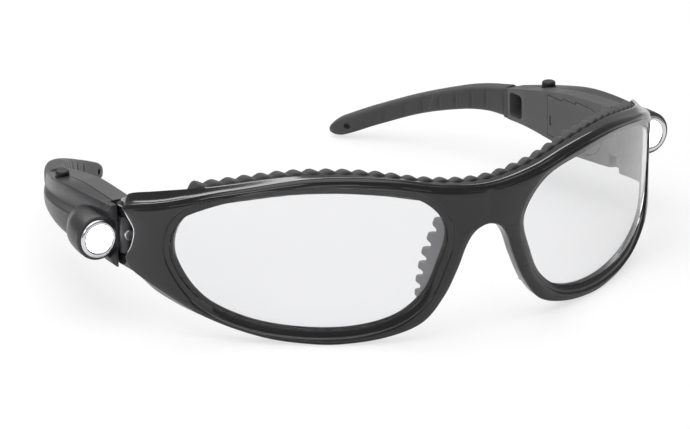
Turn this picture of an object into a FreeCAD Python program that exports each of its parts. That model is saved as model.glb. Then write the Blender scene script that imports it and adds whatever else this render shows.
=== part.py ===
import FreeCAD, Part
import math
import os

V = FreeCAD.Vector

# Lighted magnifier glasses, in millimetres. X runs across the face with the
# wearer's left side at +X, Y runs back from the bridge to the ears, and Z is up
# from the table that the rims and the ear tips rest on.

# Driving sizes of the wrapped front
wrap_start = -5.0          # depth of the lens middle surface at the bridge
wrap_at_50 = 20.95         # how far the wrap has gone back 50 mm from the middle
wrap_tighten = 0.82        # extra set-back at 50 mm, which grows with the fourth power
wrap_height = 16.0         # height at which those depths are true
turn_start = 54.0          # distance from the middle where the end panels turn back
turn_rate = 0.05           # how fast they do, with the square of the distance beyond it
front_lean = 0.063         # the top leans forward by this share of the height
frame_front = 2.2          # frame face in front of the lens middle surface at the nose
frame_front_end = 1.7      # the same at the end panels
thinning_start = 45.0
thinning_end = 58.0
frame_back = 2.2           # frame face behind it

# Front outline, (distance from the middle, height above the table)
brow_line = [(0, 34.4), (12, 35.7), (22, 37.8), (31, 38.6), (40, 38.0), (52, 34.9),
             (62, 31.2), (72, 26.6)]
chin_line = [(0, 25.0), (3.0, 23.9), (5.0, 21.2), (7.0, 16.0), (10.0, 9.8), (14.6, 4.2),
             (21.7, 1.4), (31.0, 0.0), (37.0, 0.0), (46.0, 1.3), (56.0, 5.2), (63.9, 11.1),
             (72.0, 18.6)]
lens_line = [(58.8, 23.4), (56.4, 28.4), (48.0, 33.0), (38.0, 35.1), (28.0, 35.0),
             (15.4, 32.6), (9.3, 25.0), (11.4, 15.8), (14.2, 10.2), (19.6, 5.8),
             (28.0, 3.5), (38.4, 3.3), (47.7, 5.0), (54.9, 9.2), (58.7, 16.6)]
bevel_slope = 0.55         # how fast the opening widens in front of the lens
lens_thickness = 2.0
lens_power_rise = 0.6      # extra thickness in the middle, which magnifies
lens_power_half = 25.0     # distance over which that thickness fades
lens_centre = 34.0         # distance of the lens middle from the middle of the face
lens_middle_height = 19.0
lens_lap = 1.0             # how far the lens edge goes into its groove
lens_clearance = 0.1

# End panel of the front, cut square to its surface round the lamp
end_reference = 64.0       # distance from the middle that the cut is measured at
end_line = [(29.6, 2.5), (27.1, 1.9), (24.8, 0.0), (22.5, -1.8), (20.7, -1.8),
            (18.1, -0.9), (15.8, 0.5), (14.3, 0.2), (12.1, -1.0), (9.5, -2.6)]
end_margin = 8.0           # how far the uncut front runs on beyond the panel

# Hinge
hinge_x = 62.7
hinge_y = 41.5
pin_radius = 0.75
pin_fit = 0.05
ear_radius = 2.4
barrel_radius = 2.5
barrel_low = 15.0
barrel_high = 23.4
ear_height = 2.4
ear_gap = 0.25
fold_left = 86              # degrees that the temples fold in; the second one to fold
fold_right = 72             # lies over the first
knuckle_clearance = 0.35
block_inner = 58.4
block_outer = 62.2
block_front = 29.5
block_back = 38.4
block_low = 12.4
block_high = 26.0
pin_head_radius = 1.4
pin_head_height = 0.6
arm_outer = 64.6
arm_front = 35.4
lock_screw_radius = 1.25
lock_screw_height = 19.4
lock_screw_aim = 15        # degrees that it points outboard of straight ahead
lock_screw_fit = 0.03

# Temple, (distance behind the bridge, size there)
temple_front = 40.6
temple_back = 85.6
inner_line = [(38, 60.9), (52, 60.0), (64, 58.8), (76, 57.4), (88, 56.2)]
ridge_line = [(38, 66.8), (52, 67.4), (64, 67.2), (76, 65.3), (88, 61.2)]
deck_line = [(38, 26.4), (52, 25.5), (64, 24.1), (76, 21.6), (88, 18.8)]
sill_line = [(38, 11.9), (52, 11.6), (64, 11.4), (76, 12.3), (88, 12.2)]
bulge_line = [(38, 0.8), (52, 1.6), (64, 1.9), (76, 1.3), (88, 0.0)]
chamfer_drop = 1.5
chamfer_out = 0.5
ledge_share = 0.68
ledge_drop = 0.6
belly_radius = 3.0
temple_sections = 9

# Clamshell split and inner cover
seam_depth = 4.4           # depth of the parting face behind the inner face
seam_gap = 0.08
cover_front = 44.6
cover_back = 84.3
window_front = 78.4
window_back = 83.3
window_low = 13.4
window_high = 19.2
window_corner = 1.0
stay_width = 0.9
cover_screw_radius = 1.2
cover_screw_shank = 0.7
cover_screw_length = 6.4
cover_screws_at = [(46.3, 13.2), (75.6, 16.9)]

# Coin cells and their door
cell_radius = 5.0
cell_thickness = 2.5
cell_clearance = 0.2
cell_height = 18.0
cell_first = 51.9
door_thickness = 1.2
door_gap = 0.15
door_back = 68.2
door_low = 12.8
door_steps = [(62.6, 22.4), (57.4, 23.0), (51.9, 23.6)]
strip_thickness = 0.3
strip_width = 2.4

# Push button and switch
button_x = 62.8
button_y = 75.5
button_radius = 1.6
button_proud = 1.4
button_travel = 0.5
button_gap = 0.2
button_flange = 0.5
flange_height = 0.4
roof_thickness = 0.8
stem_radius = 0.8
switch_length = 5.0
switch_width = 3.4
switch_height = 1.6

# Lamp
lamp_x = 69.8
lamp_z = 19.0
lamp_front = 41.6
pod_radius = 5.0
pod_bore = 3.9
collar_radius = 7.0
collar_front = 41.9
collar_depth = 5.0
pod_depth = 7.0
bezel_radius = 4.6
bezel_proud = 0.8
bezel_wall = 0.8
led_radius = 2.5
led_flange = 2.9
led_length = 6.0
lead_radius = 0.25
lead_spacing = 2.54
lead_length = 4.0

# Ear tip, (distance along Y, size there)
tip_inner = [(85.6, 56.3), (92.0, 54.5), (98.0, 51.4), (107.5, 45.7), (115.8, 38.9),
             (121.5, 32.8), (125.0, 28.9)]
tip_top = [(85.6, 19.6), (92.0, 18.3), (98.0, 16.8), (107.5, 13.5), (115.8, 9.8),
           (121.5, 6.7), (125.0, 4.4)]
tip_bottom = [(85.6, 12.0), (92.0, 11.9), (98.0, 11.0), (107.5, 8.0), (115.8, 3.8),
              (121.5, 0.5), (125.0, -0.4)]
tip_thickness_front = 5.2
tip_thickness_back = 4.2
tip_end = 124.5
tip_corner = 1.6
tip_clearance = 0.1
core_length = 30.0
core_share = 0.45
cord_hole_radius = 0.8
cord_hole_from_end = 3.2
groove_count = 7
groove_first = 91.5
groove_pitch = 3.9
groove_radius = 0.45

# Brow guard and nose pads
guard_depth = 2.6
guard_height = 4.6
guard_rise = 0.0
guard_half_span = 57.6
tooth_pitch = 3.5
tooth_rise = 0.8
valley_share = 0.4
valley_sink = 0.12
rib_drop = 1.1
rib_height = 0.8
rib_depth = 0.9
rubber_gap = 0.08
nose_pad_front = -3.2
nose_pad_depth = 2.4
nose_pad_width = 1.8
nose_pad_inset = 0.4
nose_pad_top = 23.2
nose_pad_bottom = 7.0
comb_line = [(7.0, 25.8), (8.8, 21.9), (10.2, 18.8), (11.1, 15.6), (11.7, 12.6), (11.9, 7.0)]
comb_top = 24.9
comb_pitch = 3.1
comb_teeth = 6
comb_cut = 1.3
comb_gap = 1.5

reach = 200.0              # longer than anything on the glasses


def smooth_line(stations, place):
    """Value at a place on a smooth line through the stations, by cubic spans."""
    places = [station[0] for station in stations]
    values = [station[1] for station in stations]
    last = len(stations) - 1
    slopes = []
    for index in range(last + 1):
        low = max(index - 1, 0)
        high = min(index + 1, last)
        slopes.append((values[high] - values[low]) / (places[high] - places[low]))
    span = 0
    while span < last - 1 and place > places[span + 1]:
        span += 1
    width = places[span + 1] - places[span]
    part = (place - places[span]) / width
    if part < 0:
        return values[span] + slopes[span] * (place - places[span])
    if part > 1:
        return values[span + 1] + slopes[span + 1] * (place - places[span + 1])
    rise = values[span + 1] - values[span]
    bend = part * (part - 1)
    start_pull = (part - 1) * (slopes[span] * width - rise)
    end_pull = part * (slopes[span + 1] * width - rise)
    return values[span] + rise * part + bend * (start_pull + end_pull)


def steps(low, high, count):
    """Evenly spaced places from low to high, both included."""
    return [low + (high - low) * index / (count - 1) for index in range(count)]


def curve(points, closed=False):
    """Edge of one smooth curve through the points."""
    spline = Part.BSplineCurve()
    spline.interpolate(Points=points, PeriodicFlag=closed)
    return spline.toShape()


def line(start, end):
    return Part.LineSegment(start, end).toShape()


def mirrored(shape):
    """The same piece for the other side of the face."""
    return shape.mirror(V(0, 0, 0), V(1, 0, 0))


def block(low, high):
    """Box between two corners."""
    size = high - low
    return Part.makeBox(size.x, size.y, size.z, low)


def post(x, y, low, high, radius):
    """Upright round post."""
    return Part.makeCylinder(radius, high - low, V(x, y, low))


# The wrapped front

def wrap_depth(x):
    share = x / 50
    turned = max(abs(x) - turn_start, 0)
    return wrap_start + wrap_at_50 * share ** 2 + wrap_tighten * share ** 4 + turn_rate * turned ** 2


def wrap_slope(x):
    share = x / 50
    turned = math.copysign(max(abs(x) - turn_start, 0), x)
    return (2 * wrap_at_50 * share + 4 * wrap_tighten * share ** 3) / 50 + 2 * turn_rate * turned


def wrap_normal(x):
    """Unit vector that points out of the front at this distance from the middle."""
    normal = V(wrap_slope(x), -1, -front_lean)
    return normal.normalize()


def wrap_point(x, offset, z):
    """Point at an offset in front of the lens middle surface, at one height."""
    slope = wrap_slope(x)
    length = math.sqrt(1 + slope ** 2)
    depth = wrap_depth(x) - front_lean * (z - wrap_height)
    return V(x + offset * slope / length, depth - offset / length, z)


def face_offset(x):
    """How far the frame's face stands in front of the lens surface, thinner at the ends."""
    share = (abs(x) - thinning_start) / (thinning_end - thinning_start)
    share = min(max(share, 0), 1)
    return frame_front + (frame_front_end - frame_front) * share ** 2 * (3 - 2 * share)


def front_band(front, back):
    """Upright wall between two offsets of the lens surface, over the whole front.

    An offset is a number, or a function of the distance from the middle.
    """
    low = -10.0
    height = 70.0
    half_span = brow_line[-1][0] + 2
    places = steps(-half_span, half_span, 33)

    def offset_at(offset, x):
        return offset(x) if callable(offset) else offset

    near = [wrap_point(x, offset_at(front, x), low) for x in places]
    far = [wrap_point(x, offset_at(back, x), low) for x in places]
    wire = Part.Wire([curve(near), line(near[-1], far[-1]), curve(far), line(far[0], near[0])])
    return Part.Face(wire).extrude(V(0, -front_lean * height, height))


def both_sides(stations):
    """Points of a front outline over both halves, from -X to +X."""
    left = [V(-x, -60, z) for x, z in reversed(stations) if x > 0]
    right = [V(x, -60, z) for x, z in stations]
    return left + right


def front_outline():
    """Column of the front's outline, along Y."""
    top = both_sides([(x, smooth_line(brow_line, x)) for x in steps(0, brow_line[-1][0], 13)])
    low = both_sides(chin_line)
    wire = Part.Wire([curve(top), line(top[-1], low[-1]), curve(low), line(low[0], top[0])])
    return Part.Face(wire).extrude(V(0, reach, 0))


def lens_column(grow, slope=0.0, start=0.0):
    """Column through the front, square to its surface, along the lens outline.

    Each straight line of the column starts at a point of the outline grown by
    `grow`, and widens by `slope` for each millimetre in front of `start`.
    """
    middle = wrap_point(lens_centre, 0, lens_middle_height)
    aim = wrap_normal(lens_centre)
    outline = Part.BSplineCurve()
    outline.interpolate(Points=[V(x, 0, z) for x, z in lens_line], PeriodicFlag=True)
    count = 28
    wires = []
    for distance in (-8.0, 5.0):
        points = []
        for index in range(count):
            at = outline.FirstParameter + (outline.LastParameter - outline.FirstParameter) * index / count
            flat = outline.value(at)
            along = outline.tangent(at)[0]
            normal = wrap_normal(flat.x)
            across = V(1, wrap_slope(flat.x), 0).normalize()
            upward = V(0, -front_lean, 1).normalize()
            outward = (across * along.z - upward * along.x).normalize()
            from_middle = V(flat.x - lens_centre, 0, flat.z - lens_middle_height)
            if from_middle.dot(outward) < 0:
                outward = outward * -1
            point = wrap_point(flat.x, 0, flat.z)
            travel = (distance - (point - middle).dot(aim)) / normal.dot(aim)
            spread = grow + slope * (travel - start)
            points.append(point + normal * travel + outward * spread)
        wires.append(Part.Wire(curve(points, True)))
    return Part.makeLoft(wires, True, True)


def end_cut():
    """What is cut off beyond the end panel, square to the panel's face."""
    base = wrap_point(end_reference, 0, 0)
    along = V(1, wrap_slope(end_reference), 0).normalize()
    out = wrap_normal(end_reference)
    out = V(out.x, out.y, 0).normalize()
    start = base + out * 12
    edge = [start + along * distance + V(0, 0, z) for z, distance in end_line]
    far_high = start + along * (end_margin + 30) + V(0, 0, end_line[0][0])
    far_low = start + along * (end_margin + 30) + V(0, 0, end_line[-1][0])
    above = V(0, 0, 20)
    wire = Part.Wire([curve(edge), line(edge[-1], far_low), line(far_low, far_high),
                      line(far_high, edge[0])])
    beyond = Part.Face(wire).extrude(out * -24)
    roof = Part.Wire(Part.makePolygon([edge[0], far_high, far_high + above, edge[0] + above, edge[0]]))
    floor = Part.Wire(Part.makePolygon([edge[-1], far_low, far_low - above, edge[-1] - above, edge[-1]]))
    higher = Part.Face(roof).extrude(out * -24)
    lower = Part.Face(floor).extrude(out * -24)
    return beyond.fuse([higher, lower])


def hinge_ears():
    """Block behind the end panel with the two ears that hold the hinge pin."""
    root = block(V(block_inner, block_front, block_low), V(block_outer, block_back, block_high))
    ears = []
    for low in (barrel_low - ear_gap - ear_height, barrel_high + ear_gap):
        plan = Part.makePolygon([V(block_inner + 0.4, arm_front, low),
                                 V(arm_outer, arm_front, low),
                                 V(hinge_x + ear_radius, hinge_y, low),
                                 V(hinge_x - ear_radius, hinge_y, low),
                                 V(block_inner + 0.4, arm_front, low)])
        arm = Part.Face(Part.Wire(plan)).extrude(V(0, 0, ear_height))
        ears.append(arm)
        ears.append(post(hinge_x, hinge_y, low, low + ear_height, ear_radius))
    bore = post(hinge_x, hinge_y, 0, 40, pin_radius + pin_fit)
    return root.fuse(ears).cut(bore)


def make_front():
    """Front frame with its lens openings and grooves, guard groove and hinge ears."""
    frame = front_band(face_offset, -frame_back).common(front_outline())
    ends = end_cut()
    frame = frame.cut([ends, mirrored(ends)])
    ears = hinge_ears()
    frame = frame.fuse([ears, mirrored(ears)])
    opening = lens_column(0.0)
    bevel = lens_column(0.0, bevel_slope, lens_thickness / 2 + 0.2)
    slot_half = lens_thickness / 2 + lens_clearance
    slot = front_band(slot_half, lambda x: -slot_half - lens_power(x))
    groove = lens_column(lens_lap + lens_clearance).common(slot)
    tools = []
    for tool in (opening, bevel, groove):
        tools += [tool, mirrored(tool)]
    frame = frame.cut(tools)
    frame = frame.cut(guard_rib(rubber_gap))
    return frame.removeSplitter()


def lens_power(x):
    """Extra thickness of the lens at this distance from the middle of the face."""
    share = (abs(x) - lens_centre) / lens_power_half
    return max(lens_power_rise * (1 - share ** 2), 0.0)


def make_lens():
    """Lens of one side, thicker in the middle than at its ends."""
    half = lens_thickness / 2
    thick = front_band(half, lambda x: -half - lens_power(x))
    return lens_column(lens_lap).common(thick)


# Brow guard and nose pads

def brow_strip(low, high):
    """Column between two offsets from the brow line, along Y."""
    places = steps(-guard_half_span, guard_half_span, 25)
    top = [V(x, -60, smooth_line(brow_line, abs(x)) + high) for x in places]
    bottom = [V(x, -60, smooth_line(brow_line, abs(x)) + low) for x in places]
    wire = Part.Wire([curve(top), line(top[-1], bottom[-1]), curve(bottom), line(bottom[0], top[0])])
    return Part.Face(wire).extrude(V(0, reach, 0))


def tooth_column(low):
    """Column under a row of rounded teeth that stand on the brow line, along Y."""
    def crest(x, share):
        return V(x, -60, smooth_line(brow_line, abs(x)) + guard_rise + tooth_rise * share)

    edges = []
    count = int(guard_half_span / tooth_pitch) * 2
    start = -count * tooth_pitch / 2
    valley = tooth_pitch * valley_share / 2
    first = crest(start + valley, 0)
    last = first
    for index in range(count):
        left = start + tooth_pitch * index
        rise = crest(left + valley, 0)
        if index > 0:
            edges.append(Part.Arc(last, crest(left, -valley_sink), rise).toShape())
        last = crest(left + tooth_pitch - valley, 0)
        edges.append(Part.Arc(rise, crest(left + tooth_pitch / 2, 1), last).toShape())
    floor_right = V(last.x, last.y, low)
    floor_left = V(first.x, first.y, low)
    edges += [line(last, floor_right), line(floor_right, floor_left), line(floor_left, first)]
    return Part.Face(Part.Wire(edges)).extrude(V(0, reach, 0))


def guard_rib(gap):
    """Rib along the front of the guard that sits in the frame's groove."""
    strip = brow_strip(-rib_drop - rib_height / 2 - gap, -rib_drop + rib_height / 2 + gap)
    wall = front_band(-frame_back + rib_depth + gap, -frame_back - 0.5)
    return wall.common(strip)


def make_brow_guard():
    """Soft guard behind the brow with its row of rounded teeth."""
    wall = front_band(-frame_back - rubber_gap, -frame_back - guard_depth)
    guard = wall.common(brow_strip(-guard_height, guard_rise + tooth_rise + 1))
    guard = guard.common(tooth_column(0.0))
    return guard.fuse(guard_rib(0.0)).removeSplitter()


def pad_section(stations, y):
    """Closed outline of a nose pad across Y, from its inner edge's (distance, height) stations."""
    inner = [V(x, y, z) for x, z in stations]
    outer = [V(x + nose_pad_width, y, z) for x, z in stations]
    return Part.Wire([curve(inner), line(inner[-1], outer[-1]), curve(outer), line(outer[0], inner[0])])


def make_nose_pad():
    """Soft pad along one side of the nose arch, with a comb of teeth on its back edge."""
    heights = steps(nose_pad_top, nose_pad_bottom, len(comb_line))
    arch = [(arch_half_width(z) + nose_pad_inset, z) for z in heights]
    sections = [pad_section(arch, nose_pad_front), pad_section(comb_line, nose_pad_depth)]
    pad = Part.makeLoft(sections, True, True)
    tools = [front_band(20, -frame_back - rubber_gap)]
    floor = nose_pad_depth - comb_cut
    for index in range(comb_teeth - 1):
        z = comb_top - comb_pitch * (index + 0.5)
        half = comb_gap / 2
        tools.append(Part.makeCylinder(half, 20, V(0, floor + half, z), V(1, 0, 0)))
        tools.append(block(V(0, floor + half, z - half), V(20, nose_pad_depth + 1, z + half)))
    return pad.cut(tools)


def arch_half_width(z):
    """Half width of the nose arch at a height, read off the chin line."""
    stations = [(-height, x) for x, height in chin_line if 0 < x < 20]
    return smooth_line(stations, -z)


# Temple

def temple_section(y):
    """Closed outline of the temple across Y: flat inner side, deck, ledge and belly."""
    inner = smooth_line(inner_line, y)
    ridge = smooth_line(ridge_line, y)
    deck = smooth_line(deck_line, y)
    sill = smooth_line(sill_line, y)
    bulge = smooth_line(bulge_line, y)
    ledge = sill + ledge_share * (deck - sill)
    low_inner = V(inner, y, sill)
    high_inner = V(inner, y, deck)
    deck_edge = V(ridge, y, deck)
    chamfer_edge = V(ridge + chamfer_out, y, deck - chamfer_drop)
    ledge_top = V(ridge + chamfer_out, y, ledge)
    ledge_low = V(ridge + chamfer_out + bulge, y, ledge - ledge_drop)
    belly = V(ridge + 0.6 * bulge, y, sill + belly_radius)
    low_outer = V(ridge - belly_radius, y, sill)
    edges = [line(low_inner, high_inner), line(high_inner, deck_edge),
             line(deck_edge, chamfer_edge), line(chamfer_edge, ledge_top),
             line(ledge_top, ledge_low), Part.Arc(ledge_low, belly, low_outer).toShape(),
             line(low_outer, low_inner)]
    return Part.Wire(edges)


def inner_wall(near, far):
    """Upright wall between two depths behind the temple's inner face."""
    places = steps(temple_front - 3, temple_back + 3, 11)
    first = [V(smooth_line(inner_line, y) + near, y, 0) for y in places]
    second = [V(smooth_line(inner_line, y) + far, y, 0) for y in places]
    wire = Part.Wire([curve(first), line(first[-1], second[-1]), curve(second),
                      line(second[0], first[0])])
    return Part.Face(wire).extrude(V(0, 0, 40))


def inner_face_frame(y, z, depth):
    """Placement on the inner face whose local Z points out of the temple's depth."""
    slope = (smooth_line(inner_line, y + 0.5) - smooth_line(inner_line, y - 0.5))
    outward = V(1, -slope, 0).normalize()
    base = V(smooth_line(inner_line, y), y, z) + outward * depth
    turn = FreeCAD.Rotation(V(0, 0, 1), outward)
    return FreeCAD.Placement(base, turn)


def on_inner_face(shape, y, z, depth):
    """The shape, drawn along its own Z, set into the inner face at one place."""
    shape.Placement = inner_face_frame(y, z, depth)
    return shape


def pod_collar():
    """Round collar behind the lamp that fills the hollow of the end panel."""
    start = V(lamp_x, collar_front, lamp_z)
    collar = Part.makeCone(collar_radius, collar_radius - 1.2, collar_depth, start, V(0, 1, 0))
    return collar.common(block(V(hinge_x, collar_front, barrel_low), V(lamp_x, 60, barrel_high)))


def pod_body():
    """Lamp pod that swells out of the temple's front end and fades into its side."""
    circles = []
    for y, share, inward in ((lamp_front, 1.0, 0.0), (lamp_front + 4.5, 0.98, 0.4),
                             (lamp_front + 9.5, 0.8, 1.9), (lamp_front + 15.5, 0.5, 3.6)):
        circle = Part.makeCircle(pod_radius * share, V(lamp_x - inward, y, lamp_z), V(0, 1, 0))
        circles.append(Part.Wire(circle))
    return Part.makeLoft(circles, True, False)


def hinge_relief():
    """Room in the temple for the frame's ears over the whole fold."""
    room = ear_radius + knuckle_clearance
    corner = block(V(hinge_x - 20, hinge_y - 20, 0), V(hinge_x, hinge_y, 40))
    corner = corner.cut(post(hinge_x, hinge_y, -1, 41, barrel_radius))
    tools = [corner]
    for low, high in ((0, barrel_low), (barrel_high, 40)):
        tools.append(post(hinge_x, hinge_y, low, high, room))
        tools.append(block(V(hinge_x - 20, hinge_y - 20, low), V(hinge_x, hinge_y + room, high)))
        tools.append(block(V(hinge_x - room, hinge_y - 20, low), V(hinge_x + room, hinge_y, high)))
    return tools


def temple_body():
    """Whole temple before it is split: body, hinge barrel and lamp pod."""
    sections = [temple_section(y) for y in steps(temple_front, temple_back, temple_sections)]
    body = Part.makeLoft(sections, True, False)
    barrel = post(hinge_x, hinge_y, barrel_low, barrel_high, barrel_radius)
    web = block(V(hinge_x - 2.2, hinge_y, barrel_low), V(hinge_x + 3, hinge_y + 4, barrel_high))
    body = body.fuse([pod_body(), pod_collar()])
    body = body.cut(hinge_relief())
    body = body.fuse([barrel, web])
    bore = post(hinge_x, hinge_y, 0, 40, pin_radius)
    seat = Part.makeCylinder(bezel_radius + 0.3, 10, V(lamp_x, lamp_front - 10, lamp_z), V(0, 1, 0))
    return body.cut([bore, seat])


def door_column(grow):
    """Column of the battery door's outline, through the inner face along X."""
    low = door_low - grow
    edge_y = door_back + grow
    points = [V(50, cell_first, low), V(50, edge_y, low)]
    for y, z in door_steps:
        points.append(V(50, edge_y, z + grow))
        edge_y = y + grow
        points.append(V(50, edge_y, z + grow))
    points[-1].y = cell_first
    body = Part.Face(Part.Wire(Part.makePolygon(points + [points[0]])))
    column = body.extrude(V(20, 0, 0))
    half = (points[-1].z - low) / 2
    nose = Part.makeCylinder(half, 20, V(50, cell_first, low + half), V(1, 0, 0))
    return column.fuse(nose).removeSplitter()


def cell_places():
    """Centres of the two coin cells along the temple."""
    return [cell_first, cell_first + 2 * cell_radius + cell_clearance]


def bay_column():
    """Pocket that holds the coin cells between the door and the parting face."""
    tools = []
    for y in cell_places():
        pocket = Part.makeCylinder(cell_radius + cell_clearance, seam_depth)
        tools.append(on_inner_face(pocket, y, cell_height, door_thickness - 0.2))
    return tools


def cover_region(gap=0.0):
    """Space that belongs to the inner cover, from its front edge to the ear tip."""
    wall = inner_wall(-3, seam_depth - gap)
    return wall.common(block(V(40, cover_front + gap, 0), V(80, cover_back - gap, 40)))


def rounded_window():
    """Column of the small window near the ear tip."""
    low = V(50, window_front, window_low)
    high = V(70, window_back, window_high)
    column = block(low, high)
    upright = [edge for edge in column.Edges if abs(edge.tangentAt(edge.FirstParameter).x) > 0.9]
    return column.makeFillet(window_corner, upright)


def screw_tools():
    """Heads and shanks of the two cover screws, as drawn into the inner face."""
    solids = []
    for y, z in cover_screws_at:
        head = Part.makeCylinder(cover_screw_radius, 1.0)
        shank = Part.makeCylinder(cover_screw_shank, cover_screw_length)
        solids.append(on_inner_face(head.fuse(shank), y, z, 0.15))
    return solids


def button_room(gap):
    """Hole through the deck, the flange room and the switch pocket below the button."""
    deck = smooth_line(deck_line, button_y)
    roof = deck - roof_thickness
    flange_room = button_radius + button_flange + gap
    floor = roof - flange_height - button_travel - 0.1
    hole = post(button_x, button_y, floor, deck + 3, button_radius + gap)
    wide = post(button_x, button_y, floor, roof, flange_room)
    half = V(switch_width / 2 + 0.05, switch_length / 2 + 0.05, 0)
    at = V(button_x, button_y, 0)
    pocket = block(at - half + V(0, 0, floor - switch_height - 0.05), at + half + V(0, 0, floor + 0.01))
    return [hole, wide, pocket]


def strip_room(grow):
    """Metal strips in the parting face, from the cells to the lamp and the switch."""
    wall = inner_wall(seam_depth - 0.01 - grow, seam_depth + strip_thickness + grow)
    half = strip_width / 2 + grow
    rail = block(V(50, 47.5 - grow, cell_height - half), V(75, 72.2 + grow, cell_height + half))
    return wall.common(rail)


def lamp_bore():
    """Stepped bore for the lamp and the two lead holes."""
    axis = V(0, 1, 0)
    wide = Part.makeCylinder(pod_bore, pod_depth + 1, V(lamp_x, lamp_front - 1, lamp_z), axis)
    seat = Part.makeCylinder(led_flange + 0.1, 1.2, V(lamp_x, lamp_front + pod_depth - 0.1, lamp_z), axis)
    leads = []
    for side in (-1, 1):
        start = V(lamp_x, lamp_front + pod_depth + 1, lamp_z + side * lead_spacing / 2)
        leads.append(Part.makeCylinder(lead_radius + 0.1, lead_length + 0.1, start, axis))
    return [wide, seat] + leads


def make_housing(body):
    """Outer half of the temple with hinge barrel, lamp pod and the core in the ear tip."""
    housing = body.cut(cover_region())
    housing = housing.fuse(tip_core())
    housing = housing.cut(lamp_bore() + button_room(button_gap) + [strip_room(0.05)] + screw_tools())
    housing = housing.cut(lock_screw_solid(lock_screw_fit, 5.0))
    stay = window_stay()
    return housing.fuse(stay).removeSplitter()


def window_stay():
    """Slanting stay across the window, which stiffens the end of the cover."""
    low = V(0, window_back - 1.4, window_low)
    high = V(0, window_front + 1.6, window_high)
    x = smooth_line(inner_line, window_front) + seam_depth - 1.2
    half = V(0, stay_width / 2, 0)
    shift = V(x, 0, 0)
    plan = Part.makePolygon([low - half + shift, low + half + shift, high + half + shift,
                             high - half + shift, low - half + shift])
    return Part.Face(Part.Wire(plan)).extrude(V(2.0, 0, 0))


def make_cover(body):
    """Inner cover with the battery opening, window and screw seats."""
    cover = body.common(cover_region(seam_gap))
    recess = door_column(door_gap).common(inner_wall(-2, door_thickness + 0.1))
    for tool in [recess, rounded_window()] + bay_column() + screw_tools() + button_room(button_gap):
        cover = cover.cut(tool)
    return cover.removeSplitter()


def make_door(body):
    """Battery door that lies flush in the inner cover."""
    door = body.common(inner_wall(-2, door_thickness)).common(door_column(0.0))
    nail = Part.makeCylinder(0.3, 2.4, V(0, 0, -1.2), V(0, 0, 1))
    y = door_back - 0.9
    nail.Placement = FreeCAD.Placement(V(smooth_line(inner_line, y) + 0.1, y, cell_height - 1.6),
                                       FreeCAD.Rotation())
    return door.cut(nail)


def make_cells():
    """Two coin cells side by side, each a can with a smaller cap."""
    cells = []
    for y in cell_places():
        can = Part.makeCylinder(cell_radius, cell_thickness * 0.8)
        cap = Part.makeCylinder(cell_radius - 0.6, cell_thickness)
        cells.append(on_inner_face(can.fuse(cap), y, cell_height, door_thickness + 0.35))
    return Part.makeCompound(cells)


def make_door_strip():
    """Spring strip inside the door that joins the two cells."""
    wall = inner_wall(door_thickness + 0.02, door_thickness + 0.02 + strip_thickness / 2)
    y_first, y_second = cell_places()
    rail = block(V(50, y_first - 1.5, cell_height - 1.0), V(75, y_second + 1.5, cell_height + 1.0))
    return wall.common(rail)


def make_contact_strip():
    """Contact strip behind the cells that runs back to the switch."""
    wall = inner_wall(seam_depth, seam_depth + strip_thickness)
    half = strip_width / 2
    rail = block(V(50, 47.5, cell_height - half), V(75, 72.2, cell_height + half))
    return wall.common(rail)


def make_cover_screws():
    """The two screws that hold the inner cover, each with a cross slot."""
    screws = []
    for y, z in cover_screws_at:
        head = Part.makeCylinder(cover_screw_radius - 0.05, 0.8)
        shank = Part.makeCylinder(cover_screw_shank - 0.03, cover_screw_length - 0.3)
        slot = block(V(-0.15, -0.7, -0.1), V(0.15, 0.7, 0.35))
        cross = block(V(-0.7, -0.15, -0.1), V(0.7, 0.15, 0.35))
        screw = head.fuse(shank).cut([slot, cross])
        screws.append(on_inner_face(screw, y, z, 0.2))
    return Part.makeCompound(screws)


def make_button():
    """Push button with a domed top, a flange that keeps it in and a stem to the switch."""
    deck = smooth_line(deck_line, button_y)
    roof = deck - roof_thickness
    base = roof - flange_height - 0.02
    cap = post(button_x, button_y, base, deck + button_proud, button_radius)
    rim = [edge for edge in cap.Edges if edge.BoundBox.ZMin > deck + button_proud - 0.01]
    cap = cap.makeFillet(0.5, rim)
    flange = post(button_x, button_y, base, base + flange_height, button_radius + button_flange)
    floor = roof - flange_height - button_travel - 0.1
    stem = post(button_x, button_y, floor - 0.3, base, stem_radius)
    return cap.fuse([flange, stem]).removeSplitter()


def make_switch():
    """Switch body under the button, with the well that its stem goes down."""
    deck = smooth_line(deck_line, button_y)
    floor = deck - roof_thickness - flange_height - button_travel - 0.1
    half = V(switch_width / 2, switch_length / 2, 0)
    at = V(button_x, button_y, 0)
    body = block(at - half + V(0, 0, floor - switch_height), at + half + V(0, 0, floor))
    well = post(button_x, button_y, floor - 0.3 - button_travel - 0.1, floor + 1, stem_radius + 0.1)
    return body.cut(well)


def make_pin():
    """Hinge pin with a round head on the upper ear."""
    low = barrel_low - ear_gap - ear_height - 0.2
    high = barrel_high + ear_gap + ear_height
    shank = post(hinge_x, hinge_y, low, high + 0.1, pin_radius - 0.01)
    head = post(hinge_x, hinge_y, high + 0.1, high + 0.1 + pin_head_height, pin_head_radius)
    slot = block(V(hinge_x - 1, hinge_y - 0.2, high + 0.4), V(hinge_x + 1, hinge_y + 0.2, high + 2))
    return shank.fuse(head).cut(slot)


def lock_screw_line():
    """Foot of the lock screw beside the pin, and the direction that it points."""
    angle = math.radians(lock_screw_aim)
    out = V(math.sin(angle), -math.cos(angle), 0)
    return V(hinge_x, hinge_y, lock_screw_height) + out * (pin_radius + 0.25), out


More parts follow.
